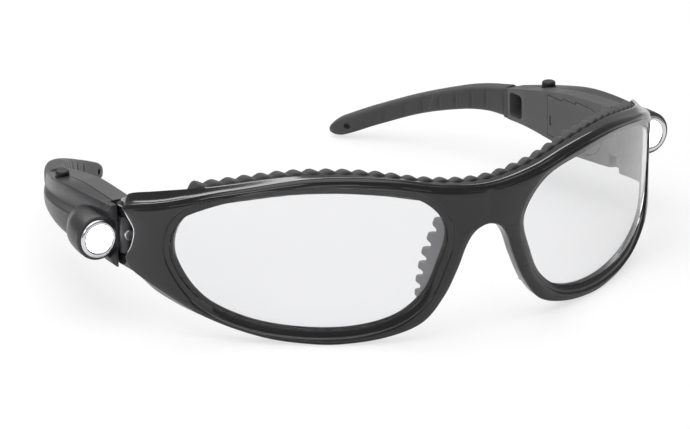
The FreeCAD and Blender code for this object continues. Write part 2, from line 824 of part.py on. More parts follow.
def lock_screw_solid(grow, head_length):
    """Round-headed screw in the front of the hinge barrel that locks the pin."""
    foot, out = lock_screw_line()
    depth = barrel_radius - pin_radius - 0.25
    shank = Part.makeCylinder(lock_screw_radius * 0.6 + grow, depth + grow, foot - out * grow, out)
    seat = foot + out * (depth - 0.45)
    head = Part.makeCylinder(lock_screw_radius + grow, head_length, seat - out * grow, out)
    return shank.fuse(head)


def make_lock_screw():
    """The lock screw with its rounded head edge."""
    foot, out = lock_screw_line()
    screw = lock_screw_solid(0.0, 0.8)
    front = max(screw.Edges, key=lambda edge: edge.CenterOfMass.dot(out))
    return screw.makeFillet(0.3, [front])


def lamp_turned(profile):
    """Body turned round the lamp's axis from a profile of (radius, depth) points."""
    points = [V(lamp_x + radius, lamp_front + depth, lamp_z) for radius, depth in profile]
    wire = Part.Wire(Part.makePolygon(points + [points[0]]))
    return Part.Face(wire).revolve(V(lamp_x, lamp_front, lamp_z), V(0, 1, 0), 360)


def make_bezel():
    """Bright ring round the lamp's mouth."""
    lip = pod_bore - bezel_wall
    return lamp_turned([(lip, -bezel_proud * 0.6), (pod_bore, -bezel_proud), (bezel_radius, -0.4),
                        (bezel_radius, -0.03), (pod_bore - 0.05, -0.03), (pod_bore - 0.05, 0.6),
                        (lip, 0.6)])


def make_lamp_lens():
    """Clear window of the lamp, behind the ring."""
    edge = pod_bore - 0.06
    lip = pod_bore - bezel_wall - 0.05
    return lamp_turned([(0, -0.3), (lip, -0.3), (lip, 0.65), (edge, 0.65), (edge, 1.25), (0, 1.25)])


def make_reflector():
    """Bright cone round the light-emitting diode."""
    edge = pod_bore - 0.06
    throat = led_radius + 0.15
    return lamp_turned([(edge, 1.3), (edge, 1.8), (throat + 0.5, pod_depth - 0.1),
                        (throat, pod_depth - 0.1), (edge - 0.5, 1.3)])


def make_led():
    """Light-emitting diode with a domed nose, its flange and two leads."""
    axis = V(0, 1, 0)
    back = V(lamp_x, lamp_front + pod_depth + 1.0, lamp_z)
    flange = Part.makeCylinder(led_flange, 1.0, back - axis, axis)
    nose = Part.makeCylinder(led_radius, led_length - led_radius - 1.0,
                             back - axis * (led_length - led_radius), axis)
    dome = Part.makeSphere(led_radius, back - axis * (led_length - led_radius))
    leads = []
    for side in (-1, 1):
        start = back + V(0, 0, side * lead_spacing / 2)
        leads.append(Part.makeCylinder(lead_radius, lead_length, start, axis))
    return flange.fuse([nose, dome] + leads).removeSplitter()


# Ear tip

def tip_tangent(y):
    """Direction of the tip in plan at this depth."""
    ahead = smooth_line(tip_inner, y + 0.5)
    behind = smooth_line(tip_inner, y - 0.5)
    return V(ahead - behind, 1, 0).normalize()


def tip_frame(y):
    """Middle, outward direction, height and thickness of the tip at this depth."""
    along = tip_tangent(y)
    outward = V(along.y, -along.x, 0)
    share = (y - temple_back) / (tip_end - temple_back)
    thickness = tip_thickness_front + (tip_thickness_back - tip_thickness_front) * share
    top = smooth_line(tip_top, y)
    bottom = smooth_line(tip_bottom, y)
    middle = V(smooth_line(tip_inner, y), y, (top + bottom) / 2) + outward * (thickness / 2)
    return middle, outward, top - bottom, thickness


def rounded_section(middle, outward, height, thickness, corner):
    """Upright rounded rectangle across the tip."""
    half_width = outward * (thickness / 2)
    half_height = V(0, 0, height / 2)
    inset_out = outward * (thickness / 2 - corner)
    inset_up = V(0, 0, height / 2 - corner)
    bend = corner * (1 - math.sqrt(0.5))
    bow_out = outward * (thickness / 2 - bend)
    bow_up = V(0, 0, height / 2 - bend)
    edges = []
    signs = ((1, 1), (-1, 1), (-1, -1), (1, -1))
    ends = []
    for out, up in signs:
        side = middle + half_width * out + inset_up * up
        cap = middle + inset_out * out + half_height * up
        bow = middle + bow_out * out + bow_up * up
        if out * up > 0:
            ends.append((side, bow, cap))
        else:
            ends.append((cap, bow, side))
    for index, (start, bow, end) in enumerate(ends):
        edges.append(Part.Arc(start, bow, end).toShape())
        edges.append(line(end, ends[(index + 1) % 4][0]))
    return Part.Wire(edges)


def tip_loft(start, end, shrink, count):
    """Loft of rounded sections along the ear tip, shrunk to a share of its section."""
    sections = []
    for y in steps(start, end, count):
        middle, outward, height, thickness = tip_frame(y)
        sections.append(rounded_section(middle, outward, height * shrink, thickness * shrink,
                                        tip_corner * shrink))
    return Part.makeLoft(sections, True, False)


def tip_core():
    """Stiff core of the temple that runs on inside the soft tip."""
    return tip_loft(temple_back - 1.0, temple_back + core_length, core_share, 8)


def tip_rounding():
    """Last sections of the tip, which close it to a rounded end."""
    sections = []
    for share, size in ((0.0, 1.0), (0.5, 0.93), (0.82, 0.72), (1.0, 0.34)):
        y = tip_end - 2.6 + 2.6 * share
        middle, outward, height, thickness = tip_frame(y)
        drop = V(0, 0, height * (1 - size) * 0.2)
        sections.append(rounded_section(middle - drop, outward, height * size, thickness * size,
                                        tip_corner * size))
    return Part.makeLoft(sections, True, False)


def make_tip():
    """Soft ear tip with its hook, side grooves and the hole for a neck cord."""
    sleeve = tip_loft(temple_back + 0.05, tip_end - 2.6, 1.0, 10)
    sleeve = sleeve.fuse(tip_rounding())
    room = tip_loft(temple_back - 1.0, temple_back + core_length + 0.4, core_share + 0.05, 8)
    tools = [room]
    for index in range(groove_count):
        y = groove_first + groove_pitch * index
        middle, outward, height, thickness = tip_frame(y)
        foot = middle - outward * (thickness / 2 + groove_radius * 0.4) - V(0, 0, height * 0.25)
        tools.append(Part.makeCylinder(groove_radius, height * 0.5, foot, V(0, 0, 1)))
    tools.append(cord_hole())
    return sleeve.cut(tools)


def cord_hole():
    """Hole through the flat of the tip near its end."""
    middle, outward, height, thickness = tip_frame(tip_end - cord_hole_from_end)
    return Part.makeCylinder(cord_hole_radius, 20, middle - outward * 10, outward)


def build():
    """Every node of the glasses by name, before they are set on the origin."""
    nodes = {}
    nodes["front_frame"] = make_front()
    nodes["brow_guard"] = make_brow_guard()
    body = temple_body()
    one_side = {
        "lens": make_lens(),
        "nose_pad": make_nose_pad(),
        "temple_housing": make_housing(body.copy()),
        "temple_cover": make_cover(body.copy()),
        "battery_door": make_door(body.copy()),
        "coin_cells": make_cells(),
        "door_strip": make_door_strip(),
        "contact_strip": make_contact_strip(),
        "cover_screws": make_cover_screws(),
        "push_button": make_button(),
        "switch_body": make_switch(),
        "hinge_pin": make_pin(),
        "pin_lock_screw": make_lock_screw(),
        "lamp_bezel": make_bezel(),
        "lamp_lens": make_lamp_lens(),
        "lamp_reflector": make_reflector(),
        "lamp_led": make_led(),
        "ear_tip": make_tip(),
    }
    for name, shape in one_side.items():
        nodes[name + "_left"] = shape
        nodes[name + "_right"] = mirrored(shape)
    return nodes


def write(nodes):
    """Set the glasses on the table, centred on the origin, and write each node."""
    box = FreeCAD.BoundBox()
    for shape in nodes.values():
        box.add(shape.optimalBoundingBox(False, False))
    shift = V(0, -(box.YMin + box.YMax) / 2, -box.ZMin)
    os.makedirs("parts", exist_ok=True)
    for name, shape in nodes.items():
        shape.translate(shift)
        shape.exportStep("parts/" + name + ".step")
    print("origin shift", shift)
    print("size", box.XLength, box.YLength, box.ZLength)


if __name__ == "__main__":
    write(build())
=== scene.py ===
# %% [markdown]
# Lighted magnifier glasses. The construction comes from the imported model, which is
# loaded first as a fixed frame. The surfaces that show most are then rebuilt round it
# as smooth numpy surfaces, in the same place. X runs across the face, Y back towards
# the ears and Z up from the table that the rims and ear tips rest on.

# %% Load the frame
import bmesh
import bpy
import numpy as np
from mathutils import Matrix, Vector


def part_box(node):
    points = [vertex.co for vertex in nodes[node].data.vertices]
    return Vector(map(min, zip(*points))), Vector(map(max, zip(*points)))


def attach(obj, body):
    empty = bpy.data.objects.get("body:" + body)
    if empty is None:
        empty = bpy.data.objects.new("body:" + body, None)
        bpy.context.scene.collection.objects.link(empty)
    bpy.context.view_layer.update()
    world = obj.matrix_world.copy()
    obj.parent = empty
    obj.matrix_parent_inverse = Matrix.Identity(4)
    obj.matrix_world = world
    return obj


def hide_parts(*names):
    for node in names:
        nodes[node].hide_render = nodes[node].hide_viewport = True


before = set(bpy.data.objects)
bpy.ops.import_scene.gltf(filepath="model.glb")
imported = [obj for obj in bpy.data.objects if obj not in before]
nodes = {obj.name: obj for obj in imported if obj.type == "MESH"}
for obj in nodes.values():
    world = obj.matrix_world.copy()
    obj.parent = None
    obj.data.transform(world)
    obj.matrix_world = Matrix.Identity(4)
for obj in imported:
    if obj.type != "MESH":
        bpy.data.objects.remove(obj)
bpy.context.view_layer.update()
mm = 0.001
sides = {"left": 1, "right": -1}
scene = bpy.context.scene
print("loaded", len(nodes), "nodes")

# %% [markdown]
# The glasses are drawn in millimetres from the bridge of the nose, where the depth is
# easy to think about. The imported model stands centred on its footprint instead, so
# every point is shifted by the same amount, which is read off the hinge pin.

# %% From drawing millimetres to the model's metres
hinge_x = 62.7
hinge_y = 41.5
pin_foot_height = 12.15
pin_low, pin_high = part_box("hinge_pin_left")
shift = np.array([0.0,
                  (pin_low[1] + pin_high[1]) / 2 / mm - hinge_y,
                  pin_low[2] / mm - pin_foot_height])
print("drawing is shifted by", shift.round(3), "mm")

# %% [markdown]
# The photograph was taken with a long lens from in front of the wearer's right eye and
# a little above. The place was worked out from the symmetry of the glasses: points on
# the near and far side that are each other's mirror image fix the view.

# %% Camera at the photograph's place
camera_place = np.array([-465.64, -833.66, 373.33])
camera_forward = np.array([0.43431, 0.83312, -0.34249])
camera_up = np.array([0.17089, 0.2971, 0.93943])
lens_length = 245.73


def unit(vectors):
    return vectors / np.linalg.norm(vectors, axis=-1, keepdims=True)


def add_object(name, data):
    """New object, linked to the scene."""
    made = bpy.data.objects.new(name, data)
    scene.collection.objects.link(made)
    return made


def add_camera():
    """Camera with its axes built from the viewing and upward directions."""
    data = bpy.data.cameras.new("camera")
    data.lens = lens_length
    data.sensor_width = 36
    data.clip_start = 0.05
    data.clip_end = 20
    camera = add_object("camera", data)
    back = unit(-camera_forward)
    right = unit(np.cross(camera_up, back))
    up = np.cross(back, right)
    turn = Matrix([[right[i], up[i], back[i], 0] for i in range(3)] + [[0, 0, 0, 1]])
    camera.matrix_world = Matrix.Translation((camera_place + shift) * mm) @ turn
    scene.camera = camera
    return camera


camera = add_camera()
print("camera at", [round(value, 3) for value in camera.location])

# %% [markdown]
# A smooth line through a few stations is the drawing tool for everything here. Between
# two stations it is one cubic span, and its slope at a station is that of the straight
# line between the stations on either side, so it neither kinks nor overshoots much.

# %% Smooth lines through stations
def smooth_values(stations, place):
    """Values at places on a smooth line through (place, value) stations.

    In a span of width w between values a and b with slopes p and q, at a share t of
    the way: a + (b - a) t + t (t - 1) ((t - 1) (p w - (b - a)) + t (q w - (b - a))).
    Beyond the ends the line runs on straight.
    """
    knots, values = np.array(stations, float).T
    slopes = np.gradient(values, knots)
    slopes[1:-1] = (values[2:] - values[:-2]) / (knots[2:] - knots[:-2])
    inside = np.clip(place, knots[0], knots[-1])
    span = np.clip(np.searchsorted(knots, inside) - 1, 0, len(knots) - 2)
    width = knots[span + 1] - knots[span]
    share = (inside - knots[span]) / width
    rise = values[span + 1] - values[span]
    bend = ((share - 1) * (slopes[span] * width - rise)
            + share * (slopes[span + 1] * width - rise))
    end_slope = np.where(place < knots[0], slopes[0], slopes[-1])
    return (values[span] + rise * share + share * (share - 1) * bend
            + end_slope * (place - inside))


def smooth_columns(table, place):
    """Smooth lines through a table whose rows are a place and its values."""
    table = np.array(table, float)
    return [smooth_values(table[:, [0, column]], place) for column in range(1, table.shape[1])]


def distance_along(points):
    """Distance along a line of points, from its first one."""
    gaps = np.linalg.norm(np.diff(points, axis=0), axis=1)
    return np.concatenate([[0], np.cumsum(gaps)])


def smooth_path(points, count, first=0, last=None):
    """Evenly spaced points of a smooth curve through 2-D points, by distance along it."""
    points = np.array(points, float)
    along = distance_along(points)
    end = along[-1] if last is None else along[last]
    places = np.linspace(along[first], end, count)
    return np.stack(smooth_columns(np.column_stack([along, points]), places), 1)


def blend(share):
    """Soft step from 0 to 1: three shares squared less two shares cubed."""
    share = np.clip(share, 0, 1)
    return share ** 2 * (3 - 2 * share)


print("a soft step is", blend(0.25), "a quarter of the way")

# %% [markdown]
# The front wraps round the face. It is drawn flat, as arc length against height, and
# then bent: a point of the flat drawing becomes a foot on the middle surface of the
# lenses, and an offset moves it out along that surface's normal. The frame, the lenses
# and the brow guard all lie on this one surface, so they always fit each other.

# %% The wrapped surface
wrap_start = -5.0
wrap_at_50 = 20.95
wrap_tighten = 0.82
wrap_height = 16.0
turn_start = 54.0
turn_rate = 0.05
lean = 0.063
face_offset = 2.2
face_offset_end = 1.7
thinning_start = 45.0
thinning_end = 58.0
back_offset = -2.2
table_x = np.linspace(-80, 80, 3201)


def wrap_depth(x):
    """Depth of the lens middle surface: a square and a fourth power of the distance
    from the middle, and past turn_start one more square that turns the ends back."""
    past = np.maximum(np.abs(x) - turn_start, 0)
    share = x / 50
    return (wrap_start + wrap_at_50 * share ** 2 + wrap_tighten * share ** 4
            + turn_rate * past ** 2)


def wrap_slope(x):
    """How fast that depth grows with the distance from the middle."""
    past = np.sign(x) * np.maximum(np.abs(x) - turn_start, 0)
    share = x / 50
    return ((2 * wrap_at_50 * share + 4 * wrap_tighten * share ** 3) / 50
            + 2 * turn_rate * past)


table_slope = wrap_slope(table_x)
table_length = np.sqrt(1 + table_slope ** 2 + lean ** 2)
steps_along = np.hypot(np.diff(table_x), np.diff(wrap_depth(table_x)))
table_arc = np.concatenate([[0], np.cumsum(steps_along)])
table_arc -= table_arc[len(table_x) // 2]


def arc_of(x):
    return np.interp(x, table_x, table_arc)


def x_of(arc):
    return np.interp(arc, table_arc, table_x)


def on_front(flat, offset):
    """Points over flat (arc, height) places: the foot on the surface plus the offset
    times the unit vector along (slope, -1, -lean)."""
    x = x_of(flat[..., 0])
    z = flat[..., 1]
    slope = wrap_slope(x)
    push = offset / np.sqrt(1 + slope ** 2 + lean ** 2)
    depth = wrap_depth(x) - lean * (z - wrap_height)
    return np.stack([x + push * slope, depth - push, z - push * lean], -1)


def front_face(x):
    """Offset of the frame's face, which eases from the nose's value to the ends'."""
    share = blend((np.abs(x) - thinning_start) / (thinning_end - thinning_start))
    return face_offset + (face_offset_end - face_offset) * share


def back_face(x):
    return np.full_like(x, back_offset)


def flat_place(x, z, face):
    """Flat place of a point whose true distance across and height are x and z."""
    push = face(table_x) / table_length
    foot = np.interp(x, table_x + push * table_slope, table_x)
    return np.stack([arc_of(foot), z + lean * np.interp(foot, table_x, push)], -1)


print("arc from the middle to the hinge", arc_of(hinge_x).round(1), "mm")

# %% [markdown]
# A skin is a closed surface, kept as points and quads. Grids of points become quads by
# numbering alone, and a stack of closed rings becomes a skin by shutting both ends.

# %% Skins from grids of points
def grid_quads(rows, columns, wrap_rows=False, wrap_columns=False):
    """Corner numbers of the quads of a grid, which may close on itself either way."""
    row, column = np.meshgrid(np.arange(rows - (not wrap_rows)),
                              np.arange(columns - (not wrap_columns)), indexing="ij")
    next_row = (row + 1) % rows
    next_column = (column + 1) % columns
    corners = [row * columns + column, row * columns + next_column,
               next_row * columns + next_column, next_row * columns + column]
    return np.stack(corners, -1).reshape(-1, 4)


def skin(grid, wrap_rows=False, wrap_columns=False, keep=None):
    """Points and quads of one grid, without the quads that `keep` leaves out."""
    quads = grid_quads(grid.shape[0], grid.shape[1], wrap_rows, wrap_columns)
    if keep is not None:
        quads = quads[keep.reshape(-1)]
    return grid.reshape(-1, 3), quads


def shrunk(ring, share):
    """Ring drawn towards its middle, to a share of its size."""
    middle = ring.mean(axis=-2, keepdims=True)
    return middle + (ring - middle) * share


def capped(rings):
    """Skin of closed rings, shut at both ends by rings shrunk onto their middle."""
    start = [shrunk(rings[:1], share) for share in (0.0, 0.6)]
    end = [shrunk(rings[-1:], share) for share in (0.6, 0.0)]
    return skin(np.concatenate(start + [rings] + end), wrap_columns=True)


def mirrored(parts):
    return [(points * [-1, 1, 1], quads) for points, quads in parts]


print("a closed grid of 4 by 6 has", len(grid_quads(4, 6, True, True)), "quads")

# %% [markdown]
# A piece is one mesh that may hold several skins. Doubled points are merged, which
# closes seams and poles, and the normals are made to point outwards. The piece then
# rides on its body, takes its slot's finish and hides the imported node it takes the place of.

# %% Pieces from skins
def make_piece(name, parts, body, slot, replaced, sharp=40):
    """One object from skins drawn in millimetres, riding on its body."""
    starts = np.cumsum([0] + [len(points) for points, quads in parts])
    points = (np.concatenate([points for points, quads in parts]) + shift) * mm
    quads = np.concatenate([part[1] + start for part, start in zip(parts, starts)])
    used, numbers = np.unique(quads, return_inverse=True)
    mesh = bpy.data.meshes.new(name)
    mesh.from_pydata(points[used], [], numbers.reshape(-1, 4).tolist())
    shape = bmesh.new()
    shape.from_mesh(mesh)
    bmesh.ops.remove_doubles(shape, verts=shape.verts, dist=2e-6)
    bmesh.ops.recalc_face_normals(shape, faces=shape.faces)
    shape.to_mesh(mesh)
    shape.free()
    mesh.shade_smooth()
    mesh.set_sharp_from_angle(angle=np.radians(sharp))
    mesh.materials.append(finishes[slot])
    piece = add_object(name, mesh)
    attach(piece, body)
    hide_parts(replaced)
    print("made", name, "with", len(mesh.polygons), "faces")
    return piece


def make_side_piece(name, side, parts, body, slot, replaced, sharp=40):
    """A piece that is drawn for the left side, and mirrored for the right one."""
    if side == "right":
        parts = mirrored(parts)
    if body != "root":
        body = body + "_" + side
    return make_piece(name + "_" + side, parts, body, slot, replaced + "_" + side, sharp)

# %% [markdown]
# Two effects serve most of the plastics and rubbers, so each is a node group that is
# built once. The first is the fine grain of a mould with slow mottling over it, and the
# second lightens sharp edges, partly as light wear and partly as a painted highlight,
# where the surface bends most sharply.

# %% Shared shader effects
def set_inputs(node, values):
    for label, value in values.items():
        node.inputs[label].default_value = value


def add_node(tree, kind, values=None):
    """New shader node, with constants on some of its inputs."""
    node = tree.nodes.new("ShaderNode" + kind)
    set_inputs(node, values or {})
    return node


def group_node(tree, group, values=None):
    """New node that stands for a node group."""
    node = tree.nodes.new("ShaderNodeGroup")
    node.node_tree = group
    set_inputs(node, values or {})
    return node


def colour_mix(tree, **ends):
    """New mix of two colours, of which a wired one can be left out."""
    node = tree.nodes.new("ShaderNodeMix")
    node.data_type = "RGBA"
    set_inputs(node, {end: (*colour, 1) for end, colour in ends.items()})
    return node


def times(tree, factor=1.0):
    """New product of a wired number and a factor, or of two wired numbers."""
    node = add_node(tree, "Math", {1: factor})
    node.operation = "MULTIPLY"
    return node


def wire(tree, *links):
    """Links, each given as node, output, node and input."""
    for source, output, target, entry in links:
        tree.links.new(source.outputs[output], target.inputs[entry])


def mix_into(tree, end, share, first, second):
    """Sends a mix of two shaders to the end node: the second where the share is 1."""
    mix = add_node(tree, "MixShader")
    wire(tree, (*share, mix, 0), (first, 0, mix, 1), (second, 0, mix, 2),
         (mix, 0, tree.nodes[end], "Surface"))


def new_group(name, inputs, outputs):
    """Node group with number inputs and outputs, and its two end nodes."""
    group = bpy.data.node_groups.new(name, "ShaderNodeTree")
    number = "NodeSocketFloat"
    for label, value in inputs.items():
        socket = group.interface.new_socket(label, in_out="INPUT", socket_type=number)
        socket.default_value = value
    for label in outputs:
        group.interface.new_socket(label, in_out="OUTPUT", socket_type=number)
    return group, group.nodes.new("NodeGroupInput"), group.nodes.new("NodeGroupOutput")


def grain_group():
    """Height is fine noise, and Mottle is slow noise between 0 and 1."""
    group, source, out = new_group("mould_grain", {"Scale": 3000.0, "Mottle Scale": 90.0},
                                   ["Height", "Mottle"])
    where = add_node(group, "TexCoord")
    fine = add_node(group, "TexNoise", {"Detail": 3})
    slow = add_node(group, "TexNoise", {"Detail": 4})
    wire(group, (where, "Object", fine, "Vector"), (where, "Object", slow, "Vector"),
         (source, "Scale", fine, "Scale"), (source, "Mottle Scale", slow, "Scale"),
         (fine, "Fac", out, "Height"), (slow, "Fac", out, "Mottle"))
    return group


def wear_and_highlight_group():
    """Mask of lightened edges, partly wear and partly a painted highlight: how convex the
    surface is, broken up by noise.
    """
    group, source, out = new_group("edge_wear_and_highlight", {"Start": 0.53, "End": 0.64}, ["Mask"])
    shape = add_node(group, "NewGeometry")
    where = add_node(group, "TexCoord")
    noise = add_node(group, "TexNoise", {"Scale": 700})
    band = add_node(group, "MapRange")
    product = times(group)
    wire(group, (where, "Object", noise, "Vector"), (shape, "Pointiness", band, "Value"),
         (source, "Start", band, "From Min"), (source, "End", band, "From Max"),
         (band, "Result", product, 0), (noise, "Fac", product, 1),
         (product, 0, out, "Mask"))
    return group


grain = grain_group()
wear_and_highlight = wear_and_highlight_group()
print("node groups", grain.name, "and", wear_and_highlight.name)

# %% [markdown]
# Every finish that isn't clear is one recipe with its own values. The colour and the
# roughness vary with the slow mottling, the grain bumps the surface, and sharp edges are
# a little lighter, partly for wear and partly as a painted highlight.

# %% Moulded and metal finishes
mottle_scale = 90.0
grain_depth = 0.05 * mm
wear_and_highlight_share = 0.3
rough_spread = 0.15


def new_material(name):
    """Material with its node tree and its shader."""
    material = bpy.data.materials.new(name)
    material.use_nodes = True
    return material, material.node_tree, material.node_tree.nodes["Principled BSDF"]


def finish(name, dark, light, rough, grain_scale, bump, metal=0.0, coat=0.0, sheen=0.0):
    """Finish that lies between two colours, with a roughness about the given one."""
    material, tree, shader = new_material(name)
    # Sharp convex edges are lightened: partly wear, partly a painted highlight on the ledges
    # and rolled edges.
    worn_and_highlight_colour = [min(value * 2.2 + 0.02, 1) for value in light]
    surface = group_node(tree, grain, {"Scale": grain_scale, "Mottle Scale": mottle_scale})
    edges = group_node(tree, wear_and_highlight)
    colour = colour_mix(tree, A=dark, B=light)
    worn_and_highlit = colour_mix(tree, B=worn_and_highlight_colour)
    amount = times(tree, wear_and_highlight_share)
    gloss = add_node(tree, "MapRange", {"From Min": 0.3, "From Max": 0.7,
                                        "To Min": rough * (1 - rough_spread),
                                        "To Max": rough * (1 + rough_spread)})
    relief = add_node(tree, "Bump", {"Strength": bump, "Distance": grain_depth})
    wire(tree, (surface, "Mottle", colour, "Factor"), (edges, "Mask", amount, 0),
         (amount, 0, worn_and_highlit, "Factor"), (colour, "Result", worn_and_highlit, "A"),
         (worn_and_highlit, "Result", shader, "Base Color"), (surface, "Mottle", gloss, "Value"),
         (gloss, "Result", shader, "Roughness"), (surface, "Height", relief, "Height"),
         (relief, "Normal", shader, "Normal"))
    set_inputs(shader, {"Metallic": metal, "Coat Weight": coat, "Coat Roughness": 0.06,
                        "Sheen Weight": sheen})
    return material


def grey(value, tint=0.0):
    """Neutral colour with a little blue and less green in it."""
    return (value * (1 + tint / 2), value, value * (1 + tint))


finishes = {
    "frame_plastic": finish("black_gloss", grey(0.006, 0.1), grey(0.01, 0.15), 0.15, 2500,
                            0.02, coat=0.1),
    "temple_plastic": finish("black_satin", grey(0.022, 0.1), grey(0.034, 0.12), 0.34, 2500,
                             0.15),
    "cover_plastic": finish("grey_moulded", grey(0.06, 0.03), grey(0.08, 0.03), 0.45, 5000,
                            0.5),
    "soft_rubber": finish("guard_rubber", grey(0.028), grey(0.05, 0.05), 0.62, 4000, 0.5,
                          sheen=0.15),
    "pad_rubber": finish("pad_rubber", grey(0.19, 0.04), grey(0.25, 0.05), 0.55, 4000, 0.4,
                         sheen=0.1),
    "tip_rubber": finish("tip_rubber", grey(0.028), grey(0.048, 0.03), 0.55, 4500, 0.5,
                         sheen=0.12),
    "button_plastic": finish("button_black", grey(0.008), grey(0.014), 0.5, 4000, 0.5),
    "switch_plastic": finish("switch_black", grey(0.01), grey(0.014), 0.6, 4000, 0.3),
    "bezel_chrome": finish("bright_plating", grey(0.62, 0.03), grey(0.78, 0.03), 0.16, 2000,
                           0.05, metal=1.0),
    "reflector_mirror": finish("mirror", grey(0.85), grey(0.95), 0.06, 900, 0.03, metal=1.0),
    "cell_steel": finish("nickel_steel", grey(0.5), grey(0.6), 0.3, 3000, 0.2, metal=1.0),
    "contact_metal": finish("brass_strip", (0.62, 0.48, 0.22), (0.74, 0.58, 0.3), 0.3, 2500,
                            0.2, metal=1.0),
    "screw_steel": finish("screw_steel", grey(0.34), grey(0.48), 0.32, 3000, 0.25, metal=1.0),
}
print("finishes", sorted(finishes))

# %% [markdown]
# The lenses are clear and polished. A ray that only asks for light passes straight
# through them, because otherwise they would cast a shadow as dark as the frame's. The
# lamp windows are lit: they glow, and still have a glossy surface.

# %% Clear and glowing finishes
def clear_finish(name, colour, passed):
    """Clear plastic with a trace of haze, and the colour that light rays pass with."""
    material, tree, shader = new_material(name)
    set_inputs(shader, {"Base Color": (*colour, 1), "Transmission Weight": 1, "IOR": 1.49})
    surface = group_node(tree, grain, {"Mottle Scale": 60})
    haze = add_node(tree, "MapRange", {"To Min": 0.0, "To Max": 0.02})
    rays = add_node(tree, "LightPath")
    through = add_node(tree, "BsdfTransparent", {"Color": (*passed, 1)})
    wire(tree, (surface, "Mottle", haze, "Value"), (haze, "Result", shader, "Roughness"))
    mix_into(tree, "Material Output", (rays, "Is Shadow Ray"), shader, through)
    return material


def glowing_finish(name, colour, strength):
    """Clear plastic lit from behind: it glows, a little unevenly, under a gloss."""
    material, tree, shader = new_material(name)
    set_inputs(shader, {"Base Color": (0.9, 0.9, 0.95, 1), "Roughness": 0.08,
                        "Emission Strength": strength})
    dimmer = [value * 0.9 for value in colour]
    surface = group_node(tree, grain, {"Mottle Scale": 260})
    tone = colour_mix(tree, A=dimmer, B=colour)
    wire(tree, (surface, "Mottle", tone, "Factor"),
         (tone, "Result", shader, "Emission Color"))
    return material


finishes["lens_clear"] = clear_finish("clear_lens", (0.84, 0.842, 0.852), (0.9, 0.9, 0.91))
finishes["lamp_clear"] = glowing_finish("lit_window", (0.93, 0.94, 1.0), 7.0)
finishes["led_body"] = glowing_finish("lit_diode", (1.0, 1.0, 1.0), 6.0)
print("now", len(finishes), "finishes")

# %% [markdown]
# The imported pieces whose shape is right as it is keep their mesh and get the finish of
# their slot. These are the flat covers and doors, the pins and screws, and what lies
# inside the temples.

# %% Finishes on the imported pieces
kept_pieces = {
    "cover_plastic": ["temple_cover", "battery_door"], "cell_steel": ["coin_cells"],
    "contact_metal": ["door_strip", "contact_strip"], "button_plastic": ["push_button"],
    "screw_steel": ["cover_screws", "hinge_pin", "pin_lock_screw"], "led_body": ["lamp_led"],
    "switch_plastic": ["switch_body"], "reflector_mirror": ["lamp_reflector"]}
for slot, kinds in kept_pieces.items():
    for name in [kind + "_" + side for kind in kinds for side in sides]:
        surface = nodes[name].data
        surface.materials.clear()
        surface.materials.append(finishes[slot])
print("kept the shape of", 2 * sum(map(len, kept_pieces.values())), "packed pieces")

# %% [markdown]
# The frame front is one moulding. Its outline and the lens opening are both drawn flat.
# Along the brow and the chin the outline follows a drawn line, and at the end panel it
# is a cut that stands square to the panel. A short smoothing rounds the two corners
# between them.

# %% Outline and lens opening, drawn flat
brow_line = [(-12, 35.7), (0, 34.4), (12, 35.7), (22, 37.8), (31, 38.6), (40, 37.9),
             (52, 34.6), (58, 32.2), (62, 30), (66.4, 27.6), (72, 24.6)]
chin_line = [(-5, 21.2), (-3, 23.9), (0, 25), (3, 23.9), (5, 21.2), (7, 16),
             (10, 9.8), (14.6, 4.2), (21.7, 1.4), (31, 0), (37, 0), (46, 1.3),
             (56, 5.2), (63.9, 11.1), (72, 18.6)]
lens_line = [(58.8, 23.4), (56.4, 28.4), (48, 33), (38, 35.1), (28, 35),
             (15.4, 32.6), (9.3, 25), (11.4, 15.8), (14.2, 10.2), (19.6, 5.8),
             (28, 3.5), (38.4, 3.3), (47.7, 5), (54.9, 9.2), (58.7, 16.6)]
end_line = [(9.5, -2.6), (12.1, -1), (14.3, 0.2), (15.8, 0.5), (18.1, -0.9), (20.7, -1.8),
            (22.5, -1.8), (24.8, 0), (27.1, 1.9), (29.6, 2.5)]
end_reference = 64.0
lens_centre = 34.0
lens_middle = np.array([arc_of(lens_centre), 19.0])
chin_curve = smooth_path(chin_line, 1200, first=2)
brow_count, end_count, chin_count, bridge_count = 90, 34, 120, 14
chin_last = brow_count + end_count + chin_count - 1


def end_edge(z, face):
    """Flat place of the end panel's edge at each height, and its distance across. Each
    try moves on by how far it still is from the drawn distance along the panel."""
    along = unit(np.array([1, wrap_slope(end_reference), 0]))
    base = np.array([end_reference, wrap_depth(end_reference) + lean * wrap_height, 0])
    wanted = smooth_values(end_line, z)
    x = end_reference + wanted
    for _ in range(12):
        offset = face(x)
        flat_length = np.sqrt(1 + wrap_slope(x) ** 2)
        flat = np.stack([arc_of(x), z + lean * offset / flat_length], -1)
        point = on_front(flat, offset)
        x = x + (wanted - (point - base) @ along) / flat_length
    return flat, point[:, 0]


